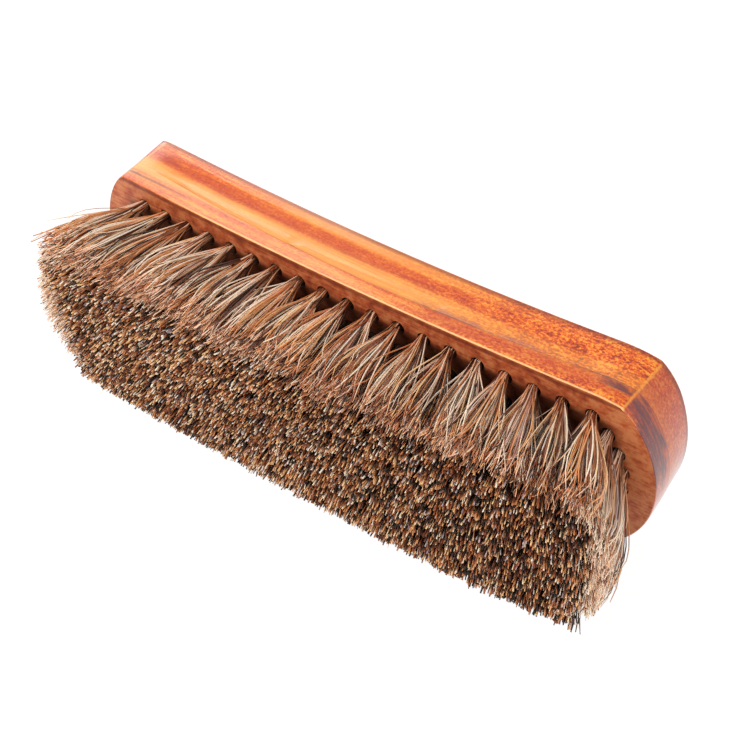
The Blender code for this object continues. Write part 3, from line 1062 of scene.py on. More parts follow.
@dataclass
class HandleBlock:
    """The wooden block: waisted sides with finger grooves, rounded ends, drilled face."""

    origin: Place
    thickness: float = 0.0210
    face: Plan = Plan(0.1000, 0.0116, 0.0271, 0.0027, (0.0004, 0.0009), (0.0040, 0.0090), 0.0)
    back: Plan = Plan(0.0977, 0.0090, 0.0274, 0.0036, (0.0007, 0.0018), (0.0050, 0.0130), 0.0020)
    draw_reach: float = 0.0450
    side_steps: int = 96
    across_steps: int = 30
    lip_depth: float = 0.0058
    lip_rise: float = 0.0018
    groove_top_margin: float = 0.0038
    groove_cut: float = 0.0011
    groove_runout: float = 0.0180
    groove_shares: tuple[tuple[float, float, float], ...] = (
        (0.000, 0.00, 1.00),
        (0.012, 0.08, 1.00),
        (0.040, 0.38, 1.00),
        (0.080, 0.62, 1.00),
        (0.160, 0.84, 0.94),
        (0.300, 1.00, 0.80),
        (0.450, 0.93, 0.60),
        (0.600, 0.78, 0.40),
        (0.720, 0.55, 0.24),
        (0.840, 0.30, 0.10),
        (0.930, 0.10, 0.04),
        (1.000, 0.00, 0.00),
    )
    face_edge: float = 0.0008
    back_edge: float = 0.0026
    crease_edge: float = 0.0005
    crease_slack: float = 0.00035
    crease_segments: int = 3
    face_segments: int = 4
    back_segments: int = 7
    face_facing: float = 0.98
    smooth_angle: float = 50.0
    hole_radius: float = 0.0020
    hole_mouth: float = 0.00225
    hole_mouth_depth: float = 0.0003
    hole_depth: float = 0.0125
    overrun: float = 0.0010
    hole_sides: int = 24
    nodes: tuple[str, ...] = ("handle_block",)

    def sheet(self, plan: Plan, height: float, name: str) -> bpy.types.Object:
        """Shapes a flat sheet to one outline of the block.

        Args:
            plan: The outline.
            height: The sheet's place out of the bristle face.
            name: The sheet's name.

        Returns:
            The sheet, still without thickness.
        """
        clear_selection()
        place = (0.0, 0.0, height)
        bpy.ops.mesh.primitive_grid_add(
            x_subdivisions=self.side_steps, y_subdivisions=self.across_steps, size=2, location=place
        )
        piece = start(name)
        bpy.ops.transform.resize(value=(plan.crease, plan.half_width, 1), center_override=place)
        column = plan.crease / self.side_steps
        pick(piece, Part.POINT, lambda at: abs(at.x) < column)
        bpy.ops.transform.resize(
            value=(1, 1 - plan.waist / plan.half_width, 1),
            center_override=place,
            use_proportional_edit=True,
            proportional_edit_falloff=Fade.ARCH.value,
            proportional_size=plan.crease,
        )
        for end in End:
            self.round_end(piece, plan, end.value)
        bpy.ops.mesh.select_all(action="SELECT")
        bpy.ops.mesh.remove_doubles(threshold=SAME_PLACE)
        for end in End:
            sharp = plan.corner(end, tucked=False)
            move = plan.corner(end, tucked=True) - sharp
            for side in (1, -1):
                seat = Vector((sharp.x, side * sharp.y))
                pick(piece, Part.POINT, lambda at: (at.xy - seat).length < BESIDE)
                pull((move.x, side * move.y, 0), Fade.TUCK, plan.tuck_reaches[end is End.RIGHT])
        pick(piece, Part.POINT, lambda at: at.x < BESIDE - plan.crease)
        pull((-plan.left_draw, 0, 0), Fade.SMOOTH, self.draw_reach)
        bpy.ops.object.mode_set(mode="OBJECT")
        return piece

    def round_end(self, piece: bpy.types.Object, plan: Plan, facing: int) -> None:
        """Draws one end of a sheet out to its arc.

        Args:
            piece: The sheet, in edit mode.
            plan: The outline.
            facing: The sign of X at that end.
        """
        limit = plan.crease - plan.crease / self.side_steps
        pick(piece, Part.POINT, lambda at: facing * at.x > limit)
        move = (facing * self.overrun, 0, 0)
        bpy.ops.mesh.extrude_region_move(TRANSFORM_OT_translate={"value": move})
        bpy.ops.mesh.hide(unselected=True)
        sink = plan.end_radius - plan.end_reach + self.overrun
        bpy.ops.transform.translate(value=(-facing * sink, 0, 0))
        step = plan.half_width / self.across_steps
        pick(piece, Part.POINT, lambda at: abs(at.y) < step)
        pull((facing * plan.end_radius, 0, 0), Fade.ROUND, plan.end_radius)
        bpy.ops.mesh.reveal(select=False)

    def score(self, depth: float) -> None:
        """Cuts a line round the block, which is in edit mode, at one depth below the bristle face."""
        bpy.ops.mesh.select_all(action="SELECT")
        bpy.ops.mesh.bisect(plane_co=(0, 0, -depth), plane_no=(0, 0, 1))

    def press_level(
        self, piece: bpy.types.Object, depth: float, cut_share: float, rise_share: float
    ) -> None:
        """Presses one line of the block in to form the groove, and bows it towards the creases.

        Args:
            piece: The block, in edit mode.
            depth: The line's depth at the middle of the brush.
            cut_share: How much of the full cut is pressed in here.
            rise_share: How far the line follows the bow of the lower lip.
        """
        pick(piece, Part.POINT, lambda at: abs(at.z + depth) < ON_LINE)
        bpy.ops.mesh.hide(unselected=True)
        bow = self.lip_rise * rise_share
        step = self.face.crease / self.side_steps
        bpy.ops.transform.translate(value=(0, 0, -bow))
        for facing in (1, -1):
            pick(piece, Part.POINT, lambda at: facing * at.y > 0 and abs(at.x) < step)
            pull((0, 0, bow), Fade.ARCH, self.face.crease)
            core = self.face.crease - self.groove_runout
            pick(piece, Part.POINT, lambda at: facing * at.y > 0 and abs(at.x) < core)
            pull((0, -facing * self.groove_cut * cut_share, 0), Fade.SMOOTH, self.groove_runout)
        bpy.ops.mesh.reveal(select=False)

    def round_edges(self, piece: bpy.types.Object) -> None:
        """Softens the creases and the edges round the bristle face and the back.

        Args:
            piece: The block, in edit mode.
        """
        plans = (self.face, self.back)
        corners = {end: [plan.corner(end, tucked=True) for plan in plans] for end in End}
        corners[End.LEFT][1].x -= self.back.left_draw

        def on_crease(one: Vector, two: Vector) -> bool:
            """Tells the edges of the creases from all others.

            Args:
                one: The place of one end.
                two: The place of the other end.

            Returns:
                Whether the edge runs down a crease.
            """
            if abs(one.z - two.z) < SAME_PLACE:
                return False
            middle = (one + two) / 2
            on_face, on_back = corners[End.LEFT if middle.x < 0 else End.RIGHT]
            corner = on_face.lerp(on_back, -middle.z / self.thickness)
            return (Vector((middle.x, abs(middle.y))) - corner).length < self.crease_slack

        pick(piece, Part.EDGE, on_crease)
        ease(self.crease_edge, self.crease_segments)
        face = (0.0, self.face_edge, self.face_segments)
        back = (-self.thickness, self.back_edge, self.back_segments)
        for level, radius, segments in (face, back):
            pick(piece, Part.FACE, lambda *spots: all(abs(at.z - level) < SAME_PLACE for at in spots))
            bpy.ops.mesh.region_to_loop()
            ease(radius, segments)

    def drill(self) -> bpy.types.Object:
        """Models one drill, with a flare that softens the mouth of its hole.

        Returns:
            The drill, point down.
        """
        clear_selection()
        depth = self.hole_depth - self.hole_mouth_depth
        bpy.ops.mesh.primitive_cylinder_add(
            vertices=self.hole_sides,
            radius=self.hole_radius,
            depth=depth,
            location=(0, 0, -self.hole_mouth_depth - depth / 2),
        )
        piece = start("drill")
        pick(piece, Part.POINT, lambda at: at.z > -depth / 2)
        flare = self.hole_mouth / self.hole_radius
        rise = (0, 0, self.hole_mouth_depth)
        bpy.ops.mesh.extrude_region_move(TRANSFORM_OT_translate={"value": rise})
        bpy.ops.transform.resize(value=(flare, flare, 1))
        bpy.ops.mesh.extrude_region_move(TRANSFORM_OT_translate={"value": (0, 0, self.overrun)})
        bpy.ops.object.mode_set(mode="OBJECT")
        return piece

    def drills(self, places: Sequence[Vector]) -> bpy.types.Object:
        """Copies the drill to every tuft's place.

        Args:
            places: The tufts' places on the bristle face.

        Returns:
            All drills as one cutter.
        """
        first = self.drill()
        copies = []
        for place in places:
            copy = first.copy()
            copy.data = first.data.copy()
            copy.location = (place.x, place.y, 0.0)
            link(copy)
            copies.append(copy)
        bpy.data.objects.remove(first)
        take(copies[0])
        for copy in copies:
            copy.select_set(True)
        bpy.ops.object.transform_apply(location=True, rotation=False, scale=False)
        bpy.ops.object.join()
        return adopt("tuft_drills")

    def build(self, places: Sequence[Vector]) -> bpy.types.Object:
        """Models the whole block, bristles up.

        Args:
            places: Where the tufts' holes are drilled.

        Returns:
            The block.
        """
        back = self.sheet(self.back, -self.thickness, "back_sheet")
        piece = self.sheet(self.face, 0.0, "handle_block_wood")
        take(piece)
        back.select_set(True)
        bpy.ops.object.join()
        bpy.ops.object.mode_set(mode="EDIT")
        bpy.ops.mesh.select_mode(type="EDGE")
        bpy.ops.mesh.select_all(action="DESELECT")
        bpy.ops.mesh.select_non_manifold()
        bpy.ops.mesh.bridge_edge_loops()
        top = self.thickness - self.groove_top_margin
        depths = [self.lip_depth + (top - self.lip_depth) * share for share, _, _ in self.groove_shares]
        for depth in depths:
            self.score(depth)
        for depth, (_, cut, bow) in reversed(list(zip(depths, self.groove_shares))):
            self.press_level(piece, depth, cut, bow)
        face_outwards()
        self.round_edges(piece)
        bpy.ops.object.mode_set(mode="OBJECT")
        finishes = [kind(self.origin).material() for kind in (LacqueredWood, FaceWood, HoleWood)]
        cutter = self.drills(places)
        for made in (piece, cutter):
            made.data.materials.clear()
            for material in finishes:
                made.data.materials.append(material)
        for skin in piece.data.polygons:
            kind = Skin.FACE if skin.normal.z > self.face_facing else Skin.LACQUER
            skin.material_index = kind.value
        for skin in cutter.data.polygons:
            skin.material_index = Skin.HOLE.value
        apply_modifier(piece, "holes", "BOOLEAN", operation="DIFFERENCE", object=cutter, solver="EXACT")
        bpy.data.objects.remove(cutter)
        take(piece)
        bpy.ops.object.shade_smooth_by_angle(angle=math.radians(self.smooth_angle))
        apply_modifier(piece, "even_shading", "WEIGHTED_NORMAL", keep_sharp=True)
        return piece

    def dress(self, piece: bpy.types.Object) -> None:
        """Lays the block on its long side, where the frame has it, hides the frame's block and hangs it
        on the body.

        Args:
            piece: The finished block, bristles up.
        """
        take(piece)
        piece.rotation_euler = (QUARTER_TURN, 0.0, 0.0)
        piece.location = self.origin
        bpy.ops.object.transform_apply(location=True, rotation=True, scale=True)
        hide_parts(*self.nodes)
        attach(piece, BODY)


# Hair


def polar(reach: np.ndarray, turn: np.ndarray) -> np.ndarray:
    """Turns distances and angles into places on a plane, one row each."""
    return np.stack([reach * np.cos(turn), reach * np.sin(turn)], axis=1)


@dataclass(frozen=True)
class Strand:
    """One straight hair, from which all the others are copied: a tapered three-sided tube.

    Heights are shares of the free length; the root stands in its hole, below zero.
    """

    height_shares: tuple[float, ...]
    size_shares: tuple[float, ...]
    sides: int = 3

    def model(self) -> tuple[np.ndarray, Faces]:
        """Models the hair standing up, one unit long and one unit in radius.

        Returns:
            Its points, and the points of each face.
        """
        clear_selection()
        foot = (0, 0, self.height_shares[0])
        bpy.ops.mesh.primitive_circle_add(
            vertices=self.sides, radius=self.size_shares[0], fill_type="NGON", location=foot
        )
        piece = start("strand")
        bpy.ops.mesh.select_all(action="SELECT")
        for step in range(1, len(self.height_shares)):
            rise = self.height_shares[step] - self.height_shares[step - 1]
            size = self.size_shares[step] / self.size_shares[step - 1]
            place = (0, 0, self.height_shares[step])
            bpy.ops.mesh.extrude_region_move(TRANSFORM_OT_translate={"value": (0, 0, rise)})
            bpy.ops.transform.resize(value=(size, size, 1), center_override=place)
        face_outwards()
        bpy.ops.object.mode_set(mode="OBJECT")
        points = np.array([tuple(vert.co) for vert in piece.data.vertices])
        faces = [tuple(skin.vertices) for skin in piece.data.polygons]
        bpy.data.objects.remove(piece)
        return points, faces


@dataclass
class Tuft:
    """One tuft: where it stands, where its tips end and how it is set."""

    root: Vector
    tip: Vector
    outward: Vector
    seed: int
    painted_light_shift: float = 0.0
    shade_scale: float = 1.0


@dataclass(frozen=True)
class HairStyle:
    """How the hairs of a group of tufts are cut, spread and coloured.

    Each pair holds the two ends of a range: climbs says how straight a hair leaves its hole, shades
    how slowly the painted shade on it lifts from root to tip, and tones its place on the scale of hair
    colours. Order is 1 where hairs keep their place from root to tip, and less where they cross.
    Neighbouring hairs lie in locks, and a few locks in a wisp. Strays leave their tuft. Back gloom and
    tip gloom add painted shade on the side of a tuft away from the light and at its tips.
    """

    strand: Strand
    finish: Horsehair
    hairs: int
    locks: int
    lock_width: float
    drift: float
    bow: float
    raggedness: float
    climbs: Span
    shades: Span
    tones: Span
    thickness: float = 1.0
    sway: float = 0.0
    order: float = 1.0
    wisp_share: float = 0.0
    dark_share: float = 0.0
    back_gloom: float = 0.0
    tip_gloom: float = 0.0
    strays: int = 0
    stray_spread: float = 0.0045
    stray_push: float = 0.0
    outward_share: float = 0.5
    inward_shares: Span = (1.0, 1.0)


@dataclass(frozen=True)
class Bundle:
    """One tuft while the lots of its hairs are drawn.

    Lock and stray say of each hair which lock it lies in and whether it strays. Lock_disc has the
    place of each lock on a disc of radius 1, and disc that of each hair.
    """

    tuft: Tuft
    style: HairStyle
    lots: np.random.Generator
    lock: np.ndarray
    stray: np.ndarray
    lock_disc: np.ndarray
    disc: np.ndarray


@dataclass
class HairField:
    """All hair of the brush: near row, both ends and the inner rows in slices."""

    origin: Place
    pattern: TuftPattern
    root_depth: float = 0.0096
    root_radius: float = 0.00140
    root_shift: Span = (-0.0002, 0.0003)
    end_root_shift: float = 0.0005
    wisps: int = 9
    spread: Span = (0.0062, 0.0068)
    lock_jitter: float = 0.05
    loose_share: float = 0.5
    loose_limit: float = 1.1
    lock_share: float = 0.4
    lock_rise: float = 0.6
    wisp_reaches: Span = (0.2, 1.0)
    tone_jitter: float = 0.06
    dark_scale: float = 0.25
    tip_fade: int = 6
    hair_radius: float = 0.00027
    hair_sizes: Span = (0.60, 1.45)
    stray_size: float = 0.70
    stray_bow: float = 0.7
    stray_climb: float = 0.95
    stray_heights: Span = (0.80, 1.02)
    stray_tones: Span = (0.5, 1.0)
    glooms: Span = (0.3, 1.2)
    root_light: float = 0.05
    shoulder: float = 34.0
    floor_gap: float = 0.0003
    # Painted light and shade by place: hair is lightened towards the ends and darkened towards the
    # right.
    end_glow: float = 0.16
    right_gloom: float = 0.14
    end_centre_share: float = 0.75
    slice_columns: tuple[int, ...] = (4, 4, 3, 4, 4)
    row_shades: tuple[float, ...] = (0.35, 0.8, 1.0, 0.6)
    near_style: HairStyle = HairStyle(
        strand=Strand(
            (-0.27, 0.0, 0.12, 0.27, 0.42, 0.57, 0.72, 0.86, 1.0),
            (0.75, 0.80, 0.9, 1.0, 1.0, 1.0, 0.90, 0.75, 0.45),
        ),
        finish=Horsehair("outer_horsehair", warm_shade_and_gloss=0.8),
        hairs=230, locks=110, lock_width=0.0004, drift=0.0012, bow=0.0020, raggedness=0.0055,
        climbs=(0.85, 1.35), shades=(0.08, 1.90), tones=(0.02, 1.68),
        thickness=0.92, sway=0.0008, order=0.6, wisp_share=0.30, dark_share=0.20,
        back_gloom=0.50, tip_gloom=0.78, strays=24, inward_shares=(0.1, 1.5),
    )
    corner_style: HairStyle = replace(near_style, strays=34, stray_push=0.0050, outward_share=0.55)
    end_style: HairStyle = replace(near_style, tip_gloom=0.45, dark_share=0.14, tones=(0.0, 2.20))
    ragged_end_style: HairStyle = replace(end_style, strays=30, outward_share=0.25)
    right_end_style: HairStyle = replace(
        end_style, outward_share=0.3, stray_spread=0.0030, climbs=(0.55, 1.00)
    )
    inner_style: HairStyle = HairStyle(
        strand=Strand((-0.27, 0.0, 0.50, 0.88, 0.955, 1.0), (0.75, 0.85, 1.0, 1.0, 0.95, 0.75)),
        finish=Horsehair(),
        hairs=240, locks=120, lock_width=0.0008, drift=0.0010, bow=0.0008, raggedness=0.0026,
        climbs=(0.75, 1.10), shades=(14.0, 30.0), tones=(-0.30, 1.16),
    )
    materials: dict[Horsehair, bpy.types.Material] = field(init=False)

    def __post_init__(self) -> None:
        """Mixes the two finishes of the hair once for all pieces."""
        finishes = (self.inner_style.finish, self.near_style.finish)
        self.materials = {finish: finish.material() for finish in finishes}

    def gather(self, tuft: Tuft, style: HairStyle) -> Bundle:
        """Sorts a tuft's hairs into locks, like the seeds of a sunflower.

        Args:
            tuft: The tuft.
            style: How it is cut and spread.

        Returns:
            The tuft with its hairs' places in the hole.
        """
        lots = np.random.default_rng(tuft.seed)
        hair, spot = np.arange(style.hairs + style.strays), np.arange(style.locks)
        turn = GOLDEN_ANGLE * spot + lots.uniform(0, math.tau)
        lock_disc = polar(np.sqrt((spot + 0.5) / style.locks), turn)
        lock_disc += lots.normal(0, self.lock_jitter, lock_disc.shape)
        lock = hair % style.locks
        loose = self.loose_share * (self.loose_limit - style.order)
        disc = lock_disc[lock] * style.order + lots.normal(0, loose, (len(hair), 2))
        disc /= np.maximum(np.linalg.norm(disc, axis=1, keepdims=True), 1.0)
        return Bundle(tuft, style, lots, lock, hair >= style.hairs, lock_disc, disc)

    def fan(self, bundle: Bundle) -> tuple[np.ndarray, np.ndarray]:
        """Spreads the tips, and holds back those that reach out of the field or into it.

        Args:
            bundle: The tuft.

        Returns:
            The tips' places, and how far each reaches out of the field.
        """
        tuft, style, lots, stray = bundle.tuft, bundle.style, bundle.lots, bundle.stray
        size = (len(stray), 2)
        outward = np.array(tuft.outward)
        offset = bundle.lock_disc[bundle.lock] * np.array(self.spread)
        offset += lots.normal(0, style.lock_width, size)
        offset += lots.normal(0, style.drift, (style.locks, 2))[bundle.lock]
        offset[stray] += lots.normal(0, style.stray_spread, size)[stray] + style.stray_push * outward
        beyond = np.maximum(offset @ outward, 0.0)
        held = 1 - lots.uniform(*style.inward_shares, len(stray))
        within = np.minimum(offset @ outward, 0.0) * held
        offset -= np.outer(beyond * (1 - style.outward_share) + within, outward)
        tips = np.array(tuft.tip.xy) + offset + lots.normal(0, 1, 2) * style.sway
        return tips, beyond * style.outward_share

    def cut(self, bundle: Bundle, beyond: np.ndarray) -> tuple[np.ndarray, ...]:
        """Cuts the hairs to length and gives each its bend.

        Args:
            bundle: The tuft.
            beyond: How far each tip reaches out of the field.

        Returns:
            Heights, bows, climbs and radii.
        """
        style, lots, stray = bundle.style, bundle.lots, bundle.stray
        count = len(stray)
        lock_height = self.lock_share * lots.uniform(0, self.lock_rise, style.locks)[bundle.lock]
        height = bundle.tuft.tip.z - style.raggedness * (lock_height + lots.random(count) ** 2)
        height -= self.shoulder * beyond**2
        height[stray] *= lots.uniform(*self.stray_heights, count)[stray]
        facing = lots.uniform(0, math.tau, count)
        reach = np.minimum(np.abs(lots.normal(0, style.bow, count)), 2 * style.bow)
        bow = polar(reach * np.where(stray, self.stray_bow, 1.0), facing)
        climb = np.where(stray, self.stray_climb, lots.uniform(*style.climbs, count))
        radius = self.hair_radius * style.thickness * lots.uniform(*self.hair_sizes, count)
        return height, bow, climb, radius * np.where(stray, self.stray_size, 1.0)

    def tint(self, bundle: Bundle) -> tuple[np.ndarray, ...]:
        """Draws the hairs' colours and painted shade, which the hairs of a wisp share in part.

        Args:
            bundle: The tuft.

        Returns:
            Shades, tip glooms, tones and a second lot for the colour.
        """
        tuft, style, lots, stray = bundle.tuft, bundle.style, bundle.lots, bundle.stray
        count = len(stray)
        own = 1 - style.wisp_share
        wisp_turn = lots.uniform(0, math.tau, self.wisps)
        wisp_reach = lots.uniform(*self.wisp_reaches, self.wisps)
        gaps = bundle.lock_disc[:, None, :] - polar(wisp_reach, wisp_turn)[None, :, :]
        wisp = np.linalg.norm(gaps, axis=2).argmin(axis=1)[bundle.lock]
        # Painted shade: hairs on the side of the tuft away from the light stay dark further up.
        sunny = np.array(tuft.outward) + np.array((-1.0, 0.0))
        behind = np.maximum(-(bundle.disc @ sunny) / max(np.linalg.norm(sunny), 0.5), 0.0)
        low, high = style.shades
        slow = style.wisp_share * lots.permutation(self.wisps)[wisp] / (self.wisps - 1)
        slow = slow + own * lots.random(count)
        shade = tuft.shade_scale * low * (high / low) ** (slow + style.back_gloom * behind)
        low, high = style.tones
        mixed = style.wisp_share * lots.random(self.wisps)[wisp]
        lock_tone = self.lock_share * lots.random(style.locks)[bundle.lock]
        mixed += own * (lock_tone + (1 - self.lock_share) * lots.random(count))
        tone = low + tuft.painted_light_shift + (high - low) * mixed + lots.normal(0, self.tone_jitter, count)
        tone = np.where(lots.random(count) < style.dark_share, self.dark_scale * tone, tone)
        tone = np.where(stray, lots.uniform(*self.stray_tones, count), tone)
        gloom = style.tip_gloom * lots.uniform(*self.glooms, count)
        return shade, gloom, np.clip(tone, 0, 1), lots.random(count)

    def comb(self, tuft: Tuft, style: HairStyle) -> tuple[np.ndarray, ...]:
        """Draws all lots for one tuft's hairs.

        Args:
            tuft: The tuft.
            style: How it is cut and spread.

        Returns:
            Roots, tips, heights, bows, climbs, radii, shades, tip glooms, tones and second lots.
        """
        bundle = self.gather(tuft, style)
        roots = np.array(tuft.root) + np.array(self.root_shift) + bundle.disc * self.root_radius
        roots[:, 0] += self.end_root_shift * tuft.outward.x
        tips, beyond = self.fan(bundle)
        return roots, tips, *self.cut(bundle, beyond), *self.tint(bundle)

    def grow(self, name: str, node: str, tufts: Sequence[Tuft], style: HairStyle) -> bpy.types.Object:
        """Copies the strand to every hair of some tufts and bends each copy.

        Args:
            name: The piece's name.
            node: The node that the piece stands for.
            tufts: The tufts that the piece holds.
            style: How they are cut and spread.

        Returns:
            One piece with all these hairs, laid where the frame has them.
        """
        points, faces = style.strand.model()
        columns = [np.concatenate(parts) for parts in zip(*(self.comb(tuft, style) for tuft in tufts))]
        roots, tips, height, bow, lean, radius, *lots = columns
        up = points[:, 2]
        free = np.maximum(up, 0.0)
        climb = lean[:, None] * free + (1 - lean[:, None]) * free**2
        arch = 27 / 4 * free**2 * (1 - free)
        flat = roots[:, None, :] + (tips - roots)[:, None, :] * climb[:, :, None]
        flat += bow[:, None, :] * arch[None, :, None]
        flat += points[None, :, :2] * radius[:, None, None]
        rise = np.maximum(up * height[:, None], -self.root_depth)
        across = np.maximum(flat[:, :, 1], self.floor_gap - self.origin[2])
        laid = np.stack([flat[:, :, 0], -rise, across], axis=2) + np.array(self.origin)
        mesh = self.skin(name, laid, faces)
        self.paint(mesh, points, lots)
        self.flatten(mesh, points, faces, len(radius))
        mesh.materials.append(self.materials[style.finish])
        piece = bpy.data.objects.new(name, mesh)
        link(piece)
        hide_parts(node)
        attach(piece, BODY)
        return piece

    def skin(self, name: str, places: np.ndarray, faces: Faces) -> bpy.types.Mesh:
        """Makes the mesh of many copies of one strand.

        Args:
            name: The mesh's name.
            places: The places of each copy's points.
            faces: The points of each face of one copy.

        Returns:
            The mesh.
        """
        count, stride = places.shape[:2]
        shifts = np.arange(count)[:, None]
        corners = (np.concatenate([np.array(face) for face in faces]) + stride * shifts).ravel()
        starts = np.cumsum([0] + [len(face) for face in faces[:-1]])
        starts = (starts + len(corners) // count * shifts).ravel()
        mesh = bpy.data.meshes.new(name)
        mesh.vertices.add(count * stride)
        mesh.vertices.foreach_set("co", places.ravel())
        mesh.loops.add(len(corners))
        mesh.loops.foreach_set("vertex_index", corners)
        mesh.polygons.add(len(starts))
        mesh.polygons.foreach_set("loop_start", starts)
        mesh.update(calc_edges=True)
        mesh.shade_smooth()
        return mesh

    def paint(self, mesh: bpy.types.Mesh, points: np.ndarray, lots: Sequence[np.ndarray]) -> None:
        """Writes each hair's colour lots and painted shade on its points.

        Args:
            mesh: The mesh of all copies.
            points: The points of one strand.
            lots: How slowly the painted shade on each hair lifts from root to tip, how much painted
                shade comes back at its tip, its place on the scale of hair colours and a second lot.
        """
        shade, gloom, tone, chance = (lot[:, None] for lot in lots)
        lit = self.root_light + (1 - self.root_light) * np.clip(points[None, :, 2], 0, 1)
        colour = np.ones((len(tone), len(points), 4))
        colour[:, :, 0] = tone
        # Painted shade: this channel darkens each hair below its lit part.
        colour[:, :, 1] = lit**shade * (1 - gloom * lit**self.tip_fade)
        colour[:, :, 2] = chance
        layer = mesh.color_attributes.new(name=HAIR_ATTRIBUTE, type="FLOAT_COLOR", domain="POINT")
        layer.data.foreach_set("color", colour.ravel())

    def flatten(self, mesh: bpy.types.Mesh, points: np.ndarray, faces: Faces, count: int) -> None:
        """Gives each hair a cell of its own in the flat map.

        A hair's sides stand next to each other in its cell, its foot below them and its tip above.

        Args:
            mesh: The mesh of all copies.
            points: The points of one strand.
            faces: The points of each of its faces.
            count: The number of copies.
        """
        low, high = points[:, 2].min(), points[:, 2].max()
        cell = []
        side = 0
        for face in faces:
            up = [(points[index, 2] - low) / (high - low) for index in face]
            if len(face) == 3:
                base = 0.01 if up[0] < 0.5 else 0.95
                cell += [(0.1, base), (0.9, base), (0.5, base + 0.04)]
                continue
            turn = [math.atan2(points[index, 1], points[index, 0]) for index in face]
            for angle, share in zip(turn, up):
                across = 0.05 if angle == min(turn) else 0.95
                cell.append(((side % 3 + across) / 3, 0.06 + 0.88 * share))
            side += 1
        grid = math.ceil(math.sqrt(count))
        corner = np.stack([np.arange(count) % grid, np.arange(count) // grid], axis=1)
        flat = (corner[:, None, :] + 0.04 + 0.92 * np.array(cell)[None, :, :]) / grid
        mesh.uv_layers.new(name="OFBake").data.foreach_set("uv", flat.ravel())

    def near_row(self) -> Iterator[bpy.types.Object]:
        """Grows the near row, a piece for each tuft; the one at the corner is the wildest.

        Yields:
            The pieces, from left to right.
        """
        across = Vector((0.0, 1.0))
        places = self.pattern.row(1.0, range(self.pattern.column_count))
        for number, place in enumerate(places, start=1):
            along = place.x / self.pattern.crease
            # Painted light towards the left end, painted shade towards the right end.
            tone = 0.5 * self.end_glow * max(-along, 0.0) - self.right_gloom * max(along, 0.0)
            tuft = Tuft(place, self.pattern.tip(place), across, 100 + number, tone)
            style = self.corner_style if number == 1 else self.near_style
            yield self.grow(f"near_hair_{number:02d}", f"near_tuft_{number:02d}", [tuft], style)

    def ends(self) -> Iterator[bpy.types.Object]:
        """Grows the tufts round both ends, a piece for each.

        Yields:
            The pieces, the left end's first, each end from near to far.
        """
        for end in End:
            label = f"{end.name.lower()}_end"
            for number, place in enumerate(self.pattern.end(end), start=1):
                centre = end.value * self.pattern.crease * self.end_centre_share
                outward = Vector((place.x - centre, place.y)).normalized()
                seed = 200 + 20 * end.value + number
                # Painted light on the right end's tufts.
                tone = self.end_glow * max(end.value, 0)
                tuft = Tuft(place, self.pattern.tip(place), outward, seed, tone)
                style = self.ragged_end_style if number <= 2 else self.end_style
                if end is End.RIGHT:
                    style = self.right_end_style
                yield self.grow(f"{label}_hair_{number}", f"{label}_tuft_{number}", [tuft], style)

    def slices(self) -> Iterator[bpy.types.Object]:
        """Grows the inner rows and the far row, a piece for each slice of columns.

        Yields:
            The pieces, from left to right.
        """
        shares = self.pattern.inner_row_shares
        first = 0
        for number, width in enumerate(self.slice_columns, start=1):
            tufts = []
            for row, share in enumerate(shares):
                outward = Vector((0.0, -1.0 if share == shares[-1] else 0.0))
                places = self.pattern.row(share, range(first, first + width))
                for column, place in enumerate(places, start=first):
                    tip, seed = self.pattern.tip(place), 1000 + 10 * column + row
                    # Painted shade towards the right end.
                    tone = -self.right_gloom * max(place.x / self.pattern.crease, 0.0)
                    tufts.append(Tuft(place, tip, outward, seed, tone, self.row_shades[row]))
            yield self.grow(f"inner_hair_{number}", f"bristle_slice_{number}", tufts, self.inner_style)
            first += width

    def build(self) -> list[bpy.types.Object]:
        """Grows every piece of hair, near row first."""
        return [*self.near_row(), *self.ends(), *self.slices()]


# Anchors


@dataclass
class Anchors:
    """The flat wire anchors of the near row, which keep the frame's own solids."""

    count: int = 19
    finish: AnchorSteel = AnchorSteel()

    def dress(self) -> None:
        """Gives every anchor its steel."""
        material = self.finish.material()
        for number in range(1, self.count + 1):
            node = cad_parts[f"near_anchor_{number:02d}"]
            node.data.materials.clear()
            node.data.materials.append(material)


# Studio


@dataclass(frozen=True)
class SoftLamp:
    """A square softbox that looks at the brush."""

    name: str
    place: Place
    size: float
    power: float

    def build(self) -> None:
        """Hangs the lamp and turns it to the origin."""
        data = bpy.data.lights.new(self.name, "AREA")
        data.shape = "SQUARE"
        data.size = self.size
        data.energy = self.power
        lamp = bpy.data.objects.new(self.name, data)
        lamp.location = self.place
        lamp.rotation_euler = (-Vector(self.place)).to_track_quat("-Z", "Y").to_euler()
        link(lamp)


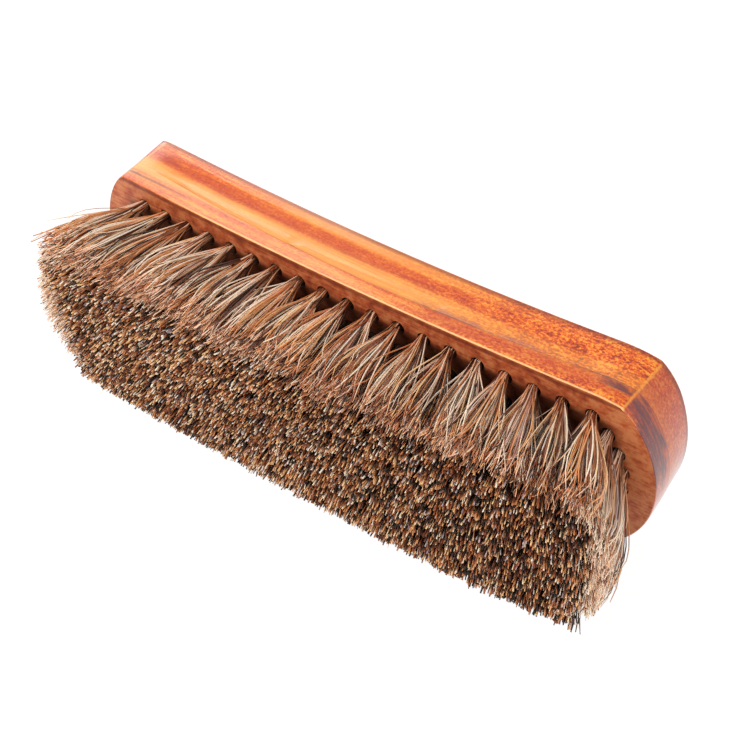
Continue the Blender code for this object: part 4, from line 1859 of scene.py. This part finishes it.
@dataclass
class Studio:
    """White floor, soft lamps and the camera that looks down on the brush."""

    origin: Place
    floor_size: float = 8.0
    floor_shade: float = 0.80
    floor_shadow_share: float = 0.16
    fill_strength: float = 0.42
    camera_place: Place = (0.19814, -0.21530, 0.27821)
    camera_turn: Place = (45.120, 3.892, 37.623)
    lens: float = 66.3
    sensor: float = 36.0
    lamps: tuple[SoftLamp, ...] = (
        SoftLamp("back_softbox", (-0.80, 0.62, 0.65), 0.45, 3.2),
        SoftLamp("front_softbox", (-0.50, -0.60, 0.95), 0.90, 11.5),
        SoftLamp("end_softbox", (0.90, -0.35, 0.60), 0.80, 5.5),
    )

    def build_floor(self) -> None:
        """Lays the floor, which looks white but keeps the brush's soft shadow."""
        clear_selection()
        bpy.ops.mesh.primitive_grid_add(x_subdivisions=8, y_subdivisions=8, size=self.floor_size)
        floor = adopt("studio_floor")
        bench = ShaderBench("white_paper")
        paper = bench.node("BsdfDiffuse", {}, {"Color": (self.floor_shade,) * 3})
        thin = bench.node("BsdfDiffuse", {}, {"Color": (self.floor_shadow_share,) * 3})
        glow = bench.node("Emission", {}, {"Strength": 1.0 - self.floor_shadow_share * 0.5})
        bright = bench.node("AddShader", {}, {0: thin, 1: glow})
        choice = bench.node("MixShader", {}, {0: bench.direct_view(), 1: paper, 2: bright})
        floor.data.materials.append(bench.show(choice))
        floor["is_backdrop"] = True

    def build_world(self) -> None:
        """Fills the room with even light; the viewer sees it white."""
        world = bpy.data.worlds.new("studio_room")
        world.use_nodes = True
        bench = NodeBench(world.node_tree)
        background = world.node_tree.nodes["Background"]
        level = {"Value": bench.direct_view(), "To Min": self.fill_strength, "To Max": 1.0}
        bench.plug(background.inputs["Color"], (1.0, 1.0, 1.0))
        bench.plug(background.inputs["Strength"], bench.node("MapRange", {}, level))
        bpy.context.scene.world = world

    def build_camera(self) -> None:
        """Sets up the camera."""
        data = bpy.data.cameras.new("studio_camera")
        data.lens = self.lens
        data.sensor_width = self.sensor
        data.sensor_height = self.sensor
        data.clip_start = 10 * MM
        camera = bpy.data.objects.new("studio_camera", data)
        camera.location = Vector(self.origin) + Vector(self.camera_place)
        camera.rotation_euler = [math.radians(angle) for angle in self.camera_turn]
        link(camera)
        bpy.context.scene.camera = camera

    def build(self) -> None:
        """Builds the whole studio."""
        self.build_floor()
        self.build_world()
        for lamp in self.lamps:
            lamp.build()
        self.build_camera()
        bpy.context.scene.view_settings.view_transform = "Standard"


def write_sizes() -> None:
    """Puts the frame's box and the dressed brush's box into plain lists, which are not used further."""
    boxes = {"cad": FRAME_BOX, "visual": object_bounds()}
    plain = {name: [[float(part) for part in corner] for corner in box] for name, box in boxes.items()}


def main() -> None:
    """Builds the brush and its studio, piece by piece."""
    logging.basicConfig(level=logging.INFO, format="%(message)s")
    low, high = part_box("handle_block")
    origin = ((low[0] + high[0]) / 2, low[1], (low[2] + high[2]) / 2)
    block = HandleBlock(origin)
    pattern = TuftPattern(block.face.crease, block.face.half_width)
    places = pattern.places()
    wood = block.build(places)
    block.dress(wood)
    log.info("%s: %d faces, %d holes", wood.name, len(wood.data.polygons), len(places))
    total = 0
    for piece in HairField(origin, pattern).build():
        total += len(piece.data.polygons)
        log.info("%s: %d faces", piece.name, len(piece.data.polygons))
    log.info("hair in all: %d faces", total)
    Anchors().dress()
    Studio(origin).build()
    write_sizes()


if __name__ == "__main__":
    main()
